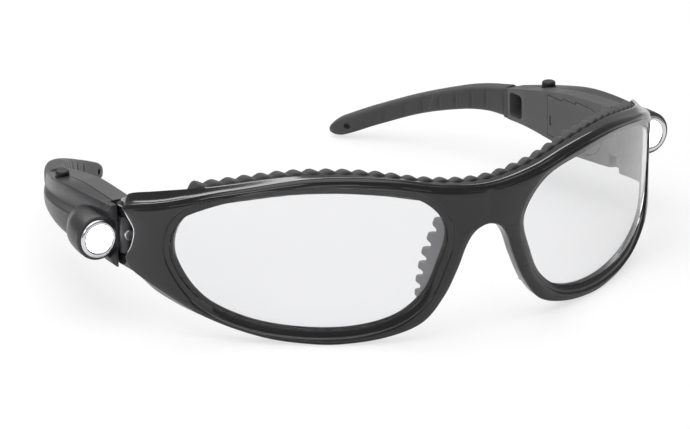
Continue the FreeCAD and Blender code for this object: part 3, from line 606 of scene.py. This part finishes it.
def outline(face, margin):
    """Closed flat outline of one half, from the bridge along the brow, down the end
    panel, back along the chin and up the middle of the bridge."""
    z = np.linspace(6, 31, 501)
    x = end_edge(z, face)[1]
    top = np.interp(0, z - smooth_values(brow_line, x), z)
    low = np.interp(0, z - np.interp(x, chin_curve[:, 0], chin_curve[:, 1]), z)
    brow_x = np.linspace(0, np.interp(top, z, x), brow_count)
    brow = flat_place(brow_x, smooth_values(brow_line, brow_x), face)
    end_z = np.linspace(top, low, end_count + 2)[1:-1]
    end = end_edge(end_z, face)[0]
    kept = chin_curve[chin_curve[:, 0] < np.interp(low, z, x)]
    picks = np.linspace(len(kept) - 1, 0, chin_count)
    chin_x, chin_z = [np.interp(picks, np.arange(len(kept)), column) for column in kept.T]
    chin = flat_place(chin_x, chin_z, face)
    rise = np.linspace(chin[-1, 1] + margin[0], brow[0, 1] - margin[1], bridge_count + 2)
    bridge = np.stack([np.zeros(bridge_count), rise[1:-1]], -1)
    loop = np.concatenate([brow, end, chin, bridge])
    for corner in (brow_count - 1, brow_count + end_count):
        near = np.arange(corner - 3, corner + 4)
        for _ in range(6):
            loop[near] = (loop[near - 1] + 2 * loop[near] + loop[near + 1]) / 4
    return loop


def inward(loop):
    """Unit vectors across a closed loop, towards its inside: the tangent turned right."""
    tangent = unit(np.roll(loop, -1, axis=0) - np.roll(loop, 1, axis=0))
    return np.stack([tangent[:, 1], -tangent[:, 0]], -1)


def lens_loop(count):
    """Closed flat outline of the lens opening, and its outward unit vectors."""
    stations = lens_line[-3:] + lens_line + lens_line[:4]
    path = smooth_path(stations, count + 1, first=3, last=3 + len(lens_line))[:-1]
    flat = np.stack([arc_of(path[:, 0]), path[:, 1]], -1)
    out = inward(flat)
    if np.sum(out * (flat - lens_middle)) < 0:
        out = -out
    return flat, out


opening, opening_out = lens_loop(720)
print("opening is", np.ptp(opening, axis=0).round(1), "mm, laid flat")

# %% [markdown]
# Each half of the frame is a closed ring between the outline and the opening, built row
# by row. A row is a whole loop round the opening. The rows go over the face, round a
# rolled edge, back along the edge wall, over the back and through the opening, with the
# groove that holds the lens and the bevel in front of it. The half is left open along
# the middle of the bridge, where its mirror image closes it.

# %% Frame front
roll_brow = 1.3
roll_rest = 0.75
back_round = 0.45
bevel_width = 1.5
groove_depth = 1.1
groove_half = 1.08
face_dip = 0.25
rim_margin = 0.3
power_rise = 0.6
power_half = 25.0
face_shares = (0.0, 0.06, 0.2, 0.4, 0.6, 0.8, 0.94, 1.0)
roll_turns = np.radians([15, 30, 45, 60, 75, 90])
wall_shares = (0.35, 0.7, 1.0)
back_turns = np.radians([30, 60])
back_shares = (0.0, 0.1, 0.3, 0.5, 0.7, 0.9, 1.0)


def lens_power(x):
    """Extra thickness of the lens: a parabola that fades out away from its middle."""
    return np.maximum(power_rise * (1 - ((np.abs(x) - lens_centre) / power_half) ** 2), 0)


def section_rows(front, back, roll, edge, edge_out):
    """Rows of the closed section as points, and which columns are the bridge's."""
    to_front = inward(front)
    to_back = inward(back)
    for loop in (to_front, to_back):
        loop[0] = [0, -1]
        loop[chin_last] = [0, 1]
    seam = np.arange(len(front)) > chin_last
    face_edge = front + to_front * np.where(seam, 0, roll)[:, None]
    bevel_edge = edge + edge_out * bevel_width
    rows = []

    def add(flat, offset):
        rows.append(on_front(flat, offset))

    for share in face_shares:
        flat = bevel_edge + (face_edge - bevel_edge) * share
        add(flat, front_face(x_of(flat[:, 0])) - face_dip * (2 * share - 1) ** 2)
    top_offset = front_face(x_of(front[:, 0])) - face_dip
    for turn in roll_turns:
        add(front + to_front * roll[:, None] * (1 - np.sin(turn)),
            top_offset - roll * (1 - np.cos(turn)))
    wall_start = top_offset - roll
    wall_end = back_offset + back_round
    for share in wall_shares:
        add(front + (back - front) * share, wall_start + (wall_end - wall_start) * share)
    for turn in back_turns:
        add(back + to_back * back_round * (1 - np.cos(turn)),
            wall_end - back_round * np.sin(turn))
    back_edge = back + to_back * np.where(seam, 0, back_round)[:, None]
    rim = edge + edge_out * rim_margin
    for share in back_shares:
        add(back_edge + (rim - back_edge) * share, back_offset)
    groove_back = -groove_half - lens_power(x_of(edge[:, 0]))
    step_top = front_face(x_of(bevel_edge[:, 0])) - face_dip
    for grow, offset in ((0.08, back_offset + 0.08), (0.0, back_offset + 0.25),
                         (0.0, groove_back), (groove_depth, groove_back),
                         (groove_depth, groove_half), (0.0, groove_half),
                         (0.1, groove_half + 0.1), (bevel_width - 0.3, step_top - 0.34),
                         (bevel_width - 0.16, step_top - 0.3),
                         (bevel_width - 0.06, step_top - 0.05)):
        add(edge + edge_out * grow, offset)
    return np.stack(rows), seam


def around(place):
    """Angle of a flat place as seen from the middle of the lens."""
    return np.arctan2(place[:, 1] - lens_middle[1], place[:, 0] - lens_middle[0])


def half_front():
    """Ring of one half, with no wall along the middle of the bridge."""
    roll = np.full(chin_last + 1 + bridge_count, roll_brow)
    end = slice(brow_count, brow_count + end_count)
    roll[end] = np.linspace(roll_brow, roll_rest, end_count)
    roll[end.stop:chin_last + 1] = roll_rest
    front = outline(front_face, (roll[chin_last], roll[0]))
    back = outline(back_face, (back_round, back_round))
    angles = around(opening)
    order = np.argsort(angles)

    def match(values):
        return np.stack([np.interp(around(front), angles[order], column[order],
                                   period=2 * np.pi) for column in values.T], -1)

    rows, seam = section_rows(front, back, roll, match(opening), match(opening_out))
    keep = np.ones(rows.shape[:2], bool)
    face_last = len(face_shares) - 1
    back_first = face_last + 1 + len(roll_turns) + len(wall_shares) + len(back_turns)
    keep[face_last:back_first, seam | np.roll(seam, -1)] = False
    return skin(rows, wrap_rows=True, wrap_columns=True, keep=keep)


# %% [markdown]
# Behind each end panel a block carries two arms, and the hinge pin stands in them. They
# are upright plates over a drawn plan, with small rounded edges that catch the light.

# %% Hinge arms, and the whole front
def plate(plan, low, high, edge=0.3):
    """Upright plate over a convex plan, with small rounded edges."""
    middle = plan.mean(axis=0)
    reach = np.linalg.norm(plan - middle, axis=1, keepdims=True)
    near = edge * 0.3
    rings = []
    for height, inset in ((low, edge), (low + near, near), (low + edge, 0.0),
                          (high - edge, 0.0), (high - near, near), (high, edge)):
        ring = middle + (plan - middle) * (1 - inset / reach)
        rings.append(np.column_stack([ring, np.full(len(ring), height)]))
    return capped(np.stack(rings))


def dense(corners, count):
    """Points spread evenly round a closed polygon of straight runs."""
    corners = np.array(corners + corners[:1], float)
    along = distance_along(corners)
    places = np.linspace(0, along[-1], count, endpoint=False)
    return np.stack([np.interp(places, along, column) for column in corners.T], 1)


def round_nose(radius, first, last, count):
    """Points of an arc round the hinge pin, between two angles in degrees."""
    turn = np.radians(np.linspace(first, last, count))
    x, y = hinge_x + radius * np.cos(turn), hinge_y + radius * np.sin(turn)
    return np.stack([x, y], 1).tolist()


def hinge_arms():
    """The block behind the end panel and the two arms that hold the hinge pin."""
    plan = dense([(58.8, 35.4), (64.6, 35.4)] + round_nose(2.4, 0, 180, 25), 96)
    parts = [plate(plan, low + 0.02, low + 2.38) for low in (12.35, 23.65)]
    block = dense([(58.4, 30.3), (62.2, 31.6), (62.2, 38.4), (58.4, 38.4)], 64)
    parts.append(plate(block, 12.4, 26.0, 0.4))
    return parts


one_half = [half_front()] + hinge_arms()
make_piece("frame_front", one_half + mirrored(one_half), "root", "frame_plastic",
           "front_frame")

# %% [markdown]
# Each lens is a clear shell on the same surface: a disc of rings from its middle out to
# the edge that sits in the groove, once for the front and once for the back, which
# bulges a little to magnify.

# %% Lenses
lens_half_thickness = 1.0
lens_lap = 0.95


def lens_skin():
    """Rings shrunk from the edge onto the middle of the lens, out over the front and
    back again over the back."""
    rim = opening[::3] + opening_out[::3] * lens_lap
    shares = np.linspace(0, 1, 25)
    rings = []
    for share in shares:
        flat = lens_middle + (rim - lens_middle) * share
        rings.append(on_front(flat, lens_half_thickness))
    for share in shares[::-1]:
        flat = lens_middle + (rim - lens_middle) * share
        rings.append(on_front(flat, -lens_half_thickness - lens_power(x_of(flat[:, 0]))))
    return [skin(np.stack(rings), wrap_columns=True)]


for side in sides:
    make_side_piece("clear_lens", side, lens_skin(), "root", "lens_clear", "lens")

# %% [markdown]
# The soft brow guard runs behind the frame's top edge. Its top is a row of rounded
# humps with narrow valleys, and the humps go on down its back as shallow ribs.

# %% Brow guard
guard_span = 55.2
guard_drop = 4.6
guard_front = -2.28
guard_back = -4.5
tooth_pitch = 3.5
tooth_rise = 0.5
guard_section = [(1, 0.78), (0.92, 0.93), (0.7, 0.99), (0.35, 1), (0, 1), (-0.35, 1),
                 (-0.7, 0.97), (-0.92, 0.88), (-1, 0.72), (-1, 0.3), (-1, -0.3), (-1, -0.8),
                 (-0.85, -0.96), (-0.5, -1), (0.5, -1), (0.85, -0.96), (1, -0.8), (1, 0)]


def hump(arc):
    """Rounded hump every pitch of arc length: a raised cosine to a power under one."""
    return (0.5 - 0.5 * np.cos(2 * np.pi * arc / tooth_pitch)) ** 0.6


def flat_band(x, z, offset):
    """Flat places for points at a true distance across and their own offsets."""
    foot = x.copy()
    for _ in range(10):
        slope = wrap_slope(foot)
        foot = x - offset * slope / np.sqrt(1 + slope ** 2 + lean ** 2)
    push = offset / np.sqrt(1 + wrap_slope(foot) ** 2 + lean ** 2)
    return np.stack([arc_of(foot), z + lean * push], -1)


def guard_skin():
    """Closed section carried across the front, shrunk to a rounded end at both ends."""
    x = np.linspace(-guard_span, guard_span, 793)
    teeth = hump(arc_of(x))
    brow = smooth_values(brow_line, np.abs(x))
    crest = brow + tooth_rise * (1.2 * teeth - 0.4)
    low = brow - guard_drop
    back_edge = guard_back - 0.3 * teeth
    front_edge = guard_front - 0.12 * (1 - teeth)
    shrink = 0.25 + 0.75 * np.sqrt(np.clip((guard_span - np.abs(x)) / 1.2, 0, 1))
    rows = []
    for across, up in guard_section:
        offset = (front_edge + back_edge) / 2 + (front_edge - back_edge) / 2 * shrink * across
        height = (crest + low) / 2 + (crest - low) / 2 * shrink * up
        rows.append(on_front(flat_band(x, height, offset), offset))
    return [capped(np.stack(rows, 1))]


make_piece("brow_guard_soft", guard_skin(), "root", "soft_rubber", "brow_guard", sharp=60)

# %% [markdown]
# The nose pads are soft combs behind the arch. Each is a thin blade whose back edge is
# cut into six rounded teeth, so its section is a flat rounded box whose depth follows a
# square wave with soft corners.

# %% Nose pads
comb_line = [(7, 25.8), (8.8, 21.9), (10.2, 18.8), (11.1, 15.6), (11.7, 12.6), (11.9, 7)]
comb_pitch = 3.1
comb_top = 24.9
comb_cut = 1.3
comb_back = 2.4
pad_top = 23.2
pad_foot = 7.0
pad_seat = 2.3
pad_width = 1.8
pad_section = [(0, 0.1), (0.0, 0.9), (0.25, 1), (0.5, 1), (0.75, 1), (0.93, 0.96),
               (1, 0.75), (1, 0.25), (0.93, 0.04), (0.75, 0), (0.5, 0), (0.25, 0)]


def comb_wave(z):
    """1 on a tooth and 0 in a gap: a cosine pushed towards a square wave."""
    return 0.5 + 0.5 * np.tanh(3.5 * (np.cos(2 * np.pi * (comb_top - z) / comb_pitch) + 0.1))


def pad_skin():
    """Rounded box section at each height, from the frame's back to the comb's edge."""
    count = 190
    share = np.linspace(0, 1, count)
    rear_x, rear_z = smooth_path(comb_line, count).T
    front_z = np.linspace(pad_top, pad_foot, count)
    arch_x, arch_z = chin_curve[:300][::-1].T
    front_x = np.interp(front_z, arch_z, arch_x) + 0.4
    front_y = wrap_depth(front_x) - lean * (front_z - wrap_height) + pad_seat
    tip_y = comb_back - comb_cut * (1 - comb_wave(rear_z))
    shrink = np.sqrt(np.clip(np.minimum(share, 1 - share) / 0.035, 0.05, 1))
    rows = []
    for along, across in pad_section:
        reach = along * (tip_y - front_y) / (comb_back - front_y)
        width = pad_width * (0.5 + (across - 0.5) * shrink)
        rows.append(np.stack([front_x + (rear_x - front_x) * reach + width,
                              front_y + (tip_y - front_y) * along,
                              front_z + (rear_z - front_z) * reach], 1))
    return [capped(np.stack(rows, 1))]


for side in sides:
    make_side_piece("nose_comb", side, pad_skin(), "root", "pad_rubber", "nose_pad",
                    sharp=50)

# %% [markdown]
# The lamp's ring and window are turned parts, so each is a profile of radius against
# depth that is swept round the lamp's axis.

# %% Lamp ring and window
lamp_place = np.array([69.8, 41.6, 19.0])
ring_profile = [(3.1, 0.55), (3.1, -0.3), (3.16, -0.55), (3.35, -0.72), (3.65, -0.8),
                (3.9, -0.76), (4.15, -0.64), (4.28, -0.5), (4.34, -0.3), (4.34, -0.05),
                (3.85, -0.05), (3.85, 0.55)]
window_profile = [(0, -0.42), (0.8, -0.41), (1.6, -0.38), (2.4, -0.33), (2.9, -0.28),
                  (3.03, -0.2), (3.04, 0.66), (3.8, 0.66), (3.8, 1.2), (0, 1.2)]


def full_turn(count):
    return np.linspace(0, 2 * np.pi, count, endpoint=False)


def turned(profile):
    """Profile of (radius, depth) points swept round the lamp's axis."""
    turn = full_turn(96)
    radius, depth = np.array(profile, float).T
    x = np.outer(radius, np.cos(turn))
    z = np.outer(radius, np.sin(turn))
    y = np.repeat(depth[:, None], len(turn), axis=1)
    return np.stack([x, y, z], -1) + lamp_place


for side in sides:
    ring = [skin(turned(ring_profile), wrap_rows=True, wrap_columns=True)]
    window = [skin(turned(window_profile), wrap_columns=True)]
    make_side_piece("lamp_ring", side, ring, "temple", "bezel_chrome", "lamp_bezel",
                    sharp=50)
    make_side_piece("lamp_window", side, window, "temple", "lamp_clear", "lamp_lens",
                    sharp=50)

# %% [markdown]
# Each temple is a clamshell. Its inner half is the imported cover, and its outer half is
# rebuilt here as sections carried back along Y: a flat deck, a chamfer, an upright
# side, a ledge that steps out and a round belly under it. Every corner of the section
# is a short curve, so the ledges catch the light in thin strips.

# %% Temple sections
# Each row is a depth, then the inner side, the ridge, the deck, the sill and the bulge.
temple_stations = [(38, 60.9, 66.8, 26.4, 11.9, 0.8), (52, 60, 67.4, 25.5, 11.6, 1.6),
                   (64, 58.8, 67.2, 24.1, 11.4, 1.9), (76, 57.4, 65.3, 21.6, 12.3, 1.3),
                   (88, 56.2, 61.2, 18.8, 12.2, 0)]
chamfer_out = 0.5
chamfer_drop = 1.5
ledge_share = 0.68
ledge_drop = 0.6
foot_width = 2.2
corner_reach = np.array([0.15, 0.15, 0.45, 0.4, 0.3, 0.45, 1.6, 1.6, 1.6])


def rounded_rings(y, corners):
    """Sections whose corners are short curves: from a point before the corner to one
    after it, weighted (1 - t) squared, 2 t (1 - t) and t squared."""
    ends = []
    for step in (1, -1):
        arm = np.roll(corners, step, axis=1) - corners
        length = np.linalg.norm(arm, axis=2, keepdims=True)
        reach = np.minimum(corner_reach[None, :, None] / length, 0.48)
        ends.append((corners + arm * reach)[:, :, None])
    t = np.linspace(0, 1, 6)[None, None, :, None]
    curve = (1 - t) ** 2 * ends[0] + 2 * t * (1 - t) * corners[:, :, None] + t ** 2 * ends[1]
    flat = curve.reshape(len(y), -1, 2)
    depth = np.repeat(y[:, None], flat.shape[1], axis=1)
    return np.stack([flat[..., 0], depth, flat[..., 1]], -1)


def inner_side(y):
    return smooth_columns(temple_stations, y)[0]


def temple_rings(y, inside):
    """Temple sections from an inner side at `inside` out to the belly."""
    ridge, deck, sill, bulge = smooth_columns(temple_stations, y)[1:]
    ledge = sill + ledge_share * (deck - sill)
    wall = ridge + chamfer_out
    corners = [(inside, sill), (inside, deck), (ridge, deck), (wall, deck - chamfer_drop),
               (wall, ledge), (wall + bulge, ledge - ledge_drop),
               (wall + 0.9 * bulge, sill + 0.4 * (ledge - sill)),
               (ridge + 0.3 * bulge, sill + 1.5),
               (np.maximum(ridge - foot_width, inside + 0.4), sill)]
    return rounded_rings(y, np.stack([np.stack(corner, 1) for corner in corners], 1))


def eased(rings, first, last):
    """The same rings with the outermost two drawn in, which rounds the ends."""
    rings = rings.copy()
    rings[0] = shrunk(rings[0], first)
    rings[-1] = shrunk(rings[-1], last)
    return rings


def along_temple(start, end, count):
    """Depths with one close to each end, so that the easing is short."""
    inner = np.linspace(start + 0.25, end - 0.25, count)
    return np.concatenate([[start], inner, [end]])


print("inner side at the hinge is", inner_side(hinge_y).round(1), "mm from the middle")

# %% [markdown]
# A round hole is cut with a solid bar. The boolean modifier works once and its result
# becomes the mesh, so nothing is left to compute.

# %% Round holes
def cut_round(piece, middle, direction, radius, length):
    """Cuts a round hole with a solid bar, and keeps the result as the mesh."""
    turn = Vector(direction).to_track_quat("Z", "Y").to_matrix().to_4x4()
    place = Matrix.Translation((np.array(middle) + shift) * mm) @ turn
    bar = bpy.data.meshes.new("bar")
    shape = bmesh.new()
    bmesh.ops.create_cone(shape, cap_ends=True, segments=48, radius1=radius * mm,
                          radius2=radius * mm, depth=length * mm, matrix=place)
    shape.to_mesh(bar)
    shape.free()
    cutter = add_object("bar", bar)
    cut = piece.modifiers.new("hole", "BOOLEAN")
    cut.object = cutter
    cut.solver = "EXACT"
    bpy.context.view_layer.update()
    evaluated = piece.evaluated_get(bpy.context.evaluated_depsgraph_get())
    mesh = bpy.data.meshes.new_from_object(evaluated)
    piece.modifiers.clear()
    old = piece.data
    piece.data = mesh
    bpy.data.meshes.remove(old)
    bpy.data.objects.remove(cutter)
    bpy.data.meshes.remove(bar)


# %% [markdown]
# The temple's outer half is one piece. The second piece holds what carries the lamp and
# the hinge: the two walls at the ends, a pod closed behind the lamp, the collar that
# fills the hollow of the end panel, and the barrel round the hinge pin. A black plate
# behind the small window of the cover is painted shade: it stands for the shade in the
# hollow behind the window and makes it read as dark.

# %% Temple shell and lamp pod
seam_depth = 4.48
button_place = np.array([62.8, 75.5])
button_hole = 1.8
cheek_inside = 65.5
bore_radius = 3.95
bore_depth = 7.0
seat_radius = 3.05
seat_depth = 8.05
ring_hollow = 5.15
barrel_radius = 2.5
barrel_low, barrel_high = 15.02, 23.38
# Each row is a depth behind the lamp's mouth, then the radius and the drift inboard.
pod_stations = [(0, 4.86, 0), (0.12, 4.96, 0), (0.4, 5, 0), (3.5, 4.92, 0.05),
                (6.9, 4.7, 0.35), (8.6, 4.4, 0.75), (10.6, 3.9, 1.25), (12.8, 3.3, 1.85),
                (15, 2.3, 2.7), (17, 1.2, 3.4), (18.4, 0.5, 3.9)]


def temple_shell():
    """Outer half behind the hinge, and the cheek that runs forward beside the lamp."""
    y = along_temple(44.65, 84.6, 70)
    shell = temple_rings(y, inner_side(y) + seam_depth)
    y = along_temple(40.6, 44.62, 8)
    cheek = temple_rings(y, np.full_like(y, cheek_inside))
    return [capped(eased(shell, 0.99, 0.99)), capped(eased(cheek, 0.9, 1.0))]


def temple_ends():
    """The wall in front of the ear tip and the wall behind the hinge."""
    y = along_temple(84.38, 85.8, 4)
    back = eased(temple_rings(y, inner_side(y)), 0.99, 0.98)
    y = np.array([44.28, 44.38, 44.5, 44.58])
    front = temple_rings(y, inner_side(y))
    return [capped(back), capped(front)]


def pod_skin():
    """Circles that shrink and move inboard behind the lamp, and the bore inside them."""
    turn = full_turn(96)
    ring = np.stack([np.cos(turn), np.zeros_like(turn), np.sin(turn)], 1)
    places = [row[0] for row in pod_stations]
    depths = np.concatenate([places[:3], np.linspace(1, places[-1], 40)])
    radius, drift = smooth_columns(pod_stations, depths)
    outer = [lamp_place + [-aside, depth, 0] + ring * size
             for depth, size, aside in zip(depths, radius, drift)]
    bore = [(bore_radius, 0.0), (bore_radius, bore_depth), (seat_radius, bore_depth),
            (seat_radius, seat_depth), (0.0, seat_depth)]
    inside = [lamp_place + [0, depth, 0] + ring * size for size, depth in bore]
    tail = outer[-1].mean(axis=0) + ring * 0
    return skin(np.stack([tail] + outer[::-1] + inside), wrap_columns=True)


def pod_collar():
    """Cone behind the lamp, kept between the hinge and the lamp and within the height
    of the barrel."""
    turn = full_turn(120)
    rings = []
    for depth, size in ((0.3, 6.7), (0.5, 6.95), (0.8, 7.0), (3.0, 6.6), (5.2, 6.0)):
        x = np.clip(lamp_place[0] + size * np.cos(turn), hinge_x + 0.1, lamp_place[0])
        z = np.clip(lamp_place[2] + size * np.sin(turn), barrel_low + 0.03,
                    barrel_high - 0.03)
        rings.append(np.stack([x, np.full_like(x, lamp_place[1] + depth), z], 1))
    return capped(np.stack(rings))


def hinge_barrel():
    """Barrel round the pin with the web that ties it to the temple."""
    nose = round_nose(barrel_radius, 180, 360, 40)
    plan = dense([(60.5, 45.5)] + nose + [(65.6, 41.6), (65.6, 45.5)], 140)
    return plate(plan, barrel_low, barrel_high, 0.2)


def window_shade_plate():
    """Thin black plate behind the small window in the cover, painted shade for the hollow
    behind it.
    """
    y = np.array([78.5, 83.2])
    x = inner_side(y) + 4.33
    plan = [(x[0], y[0]), (x[0] + 0.1, y[0]), (x[1] + 0.1, y[1]), (x[1], y[1])]
    return plate(dense(plan, 40), 13.5, 19.1, 0.02)


for side, sign in sides.items():
    shell = make_side_piece("temple_shell", side, temple_shell(), "temple",
                            "temple_plastic", "temple_housing")
    deck = smooth_columns(temple_stations, button_place[1:])[2][0]
    lamp = lamp_place * [sign, 1, 1]
    cut_round(shell, [sign * button_place[0], button_place[1], deck], (0, 0, 1),
              button_hole, 3.8)
    cut_round(shell, lamp - [0, 0.8, 0], (0, 1, 0), ring_hollow, 1.7)
    cut_round(shell, lamp + [0, 2.7, 0], (0, 1, 0), bore_radius, 8.7)
    make_side_piece("lamp_pod", side,
                    temple_ends() + [pod_skin(), pod_collar(), hinge_barrel()], "temple",
                    "temple_plastic", "temple_housing")
    # The black plate behind the cover's small window paints the shade inside it.
    make_side_piece("window_shade_plate", side, [window_shade_plate()], "temple", "switch_plastic",
                    "temple_housing")

# %% [markdown]
# The ear tips are soft sleeves that hook down behind the ears. Their rounded section
# follows three lines, for the inner face, the top and the bottom, and shallow grooves
# cross the sides. A hole for a neck cord goes through the flat near the end.

# %% Ear tips
# Each row is a depth, then the inner face, the top and the bottom.
tip_stations = [(85.6, 56.3, 19.6, 12), (92, 54.5, 18.3, 11.9), (98, 51.4, 16.7, 11),
                (107.5, 45.7, 13.1, 8.1), (115.8, 38.9, 9, 4.1), (121.5, 32.8, 5.6, 0.9),
                (125, 28.9, 3.4, -0.2)]
tip_root = 85.6
tip_start = 85.65
tip_end = 124.5
tip_round = 2.6
tip_thickness = 5.2
tip_squareness = 3.2
groove_places = 91.5 + 3.9 * np.arange(7)
groove_width = 0.32
cord_hole_radius = 0.8
cord_hole_inset = 3.2


def tip_frames(y):
    """Middle, outward direction, height and thickness of the tip at each depth."""
    ahead, behind = [smooth_columns(tip_stations, y + step)[0] for step in (0.5, -0.5)]
    slope = ahead - behind
    out = unit(np.stack([np.ones_like(y), -slope, np.zeros_like(y)], 1))
    thick = tip_thickness - (y - tip_root) / (tip_end - tip_root)
    inner, top, bottom = smooth_columns(tip_stations, y)
    face = np.stack([inner, y, (top + bottom) / 2], 1)
    return face + out * thick[:, None] / 2, out, top - bottom, thick


def tip_skin():
    """Rounded sections along the tip: a squared-off circle, pinched at each groove."""
    turning = np.sin(np.linspace(0.08, np.pi / 2, 18))
    y = np.concatenate([np.linspace(tip_start, tip_end - tip_round, 260),
                        tip_end - tip_round + tip_round * turning])
    middle, out, height, thick = tip_frames(y)
    past = np.clip((y - (tip_end - tip_round)) / tip_round, 0, 1)
    near_start = np.clip((y - tip_start) / 0.5, 0, 1)
    size = np.sqrt(np.maximum(1 - past ** 2 * 0.97, 0.03)) * (0.93 + 0.07 * np.sqrt(near_start))
    turn = full_turn(64)
    cosine, sine = np.cos(turn), np.sin(turn)
    squared = np.abs(cosine) ** tip_squareness + np.abs(sine) ** tip_squareness
    across, up = [part / squared ** (1 / tip_squareness) for part in (cosine, sine)]
    groove = np.exp(-((y[:, None] - groove_places) / groove_width) ** 2).sum(axis=1)
    pinch = 1 - 0.16 * groove[:, None] * np.clip(1.25 - 1.3 * np.abs(up), 0, 1)
    half = (thick * size / 2)[:, None] * across * pinch
    rings = middle[:, None, :] + out[:, None, :] * half[..., None]
    rings[..., 2] += (height * size / 2)[:, None] * up
    return [capped(rings)]


for side, sign in sides.items():
    tip = make_side_piece("ear_tip_soft", side, tip_skin(), "temple", "tip_rubber", "ear_tip")
    middle, out = [row[0] for row in tip_frames(np.array([tip_end - cord_hole_inset]))[:2]]
    cut_round(tip, middle * [sign, 1, 1], out * [sign, 1, 1], cord_hole_radius, 14)

# %% [markdown]
# The glasses stand on a pale floor that runs out to a white backdrop, under large soft
# lights, as in a product photograph. The floor and the backdrop look white to the camera
# and through the lenses, while the light that they give stays at a plain level.

# %% Floor, backdrop and soft studio light
floor_reach = 3.0
floor_whiteness = 0.65
world_light = 0.32


def seen_directly(tree):
    """Node that is 1 for rays from the camera, also after they cross a lens."""
    rays = add_node(tree, "LightPath")
    seen = add_node(tree, "Math")
    seen.operation = "MAXIMUM"
    wire(tree, (rays, "Is Camera Ray", seen, 0), (rays, "Is Transmission Ray", seen, 1))
    return seen


def add_floor():
    """Pale floor that meets the white background."""
    mesh = bpy.data.meshes.new("floor")
    corners = [(-1, -1), (1, -1), (1, 1), (-1, 1)]
    mesh.from_pydata([(x * floor_reach, y * floor_reach, 0) for x, y in corners], [],
                     [(0, 1, 2, 3)])
    floor = add_object("floor", mesh)
    material, tree, shader = new_material("floor_white")
    set_inputs(shader, {"Base Color": (0.92, 0.92, 0.92, 1), "Roughness": 0.9,
                        "Specular IOR Level": 0.0})
    white = add_node(tree, "Emission", {"Strength": 1.06})
    share = times(tree, floor_whiteness)
    wire(tree, (seen_directly(tree), 0, share, 0))
    mix_into(tree, "Material Output", (share, 0), shader, white)
    mesh.materials.append(material)


def add_backdrop():
    """World that gives a plain light and looks white to the camera."""
    world = bpy.data.worlds.new("studio")
    scene.world = world
    world.use_nodes = True
    tree = world.node_tree
    light = tree.nodes["Background"]
    set_inputs(light, {"Color": (1, 1, 1, 1), "Strength": world_light})
    white = add_node(tree, "Background", {"Color": (1, 1, 1, 1)})
    mix_into(tree, "World Output", (seen_directly(tree), 0), light, white)


def add_area_light(name, place, aim, size, power):
    """Soft rectangle of light that looks at a point."""
    data = bpy.data.lights.new(name, "AREA")
    data.shape = "RECTANGLE"
    data.size, data.size_y = size
    data.energy = power
    light = add_object(name, data)
    light.location = place
    towards = Vector(aim) - Vector(place)
    light.rotation_euler = towards.to_track_quat("-Z", "Y").to_euler()


scene.view_settings.view_transform = "Standard"
add_backdrop()
add_floor()
add_area_light("overhead", (-0.15, -0.1, 0.8), (0, 0, 0.02), (1.1, 0.9), 5.5)
add_area_light("back_strip", (0.1, 0.6, 0.5), (0, 0, 0.02), (0.8, 0.12), 1.5)
add_area_light("left_strip", (-0.6, -0.25, 0.35), (-0.06, 0, 0.02), (0.5, 0.15), 0.8)
print("floor, backdrop and three soft lights are set")
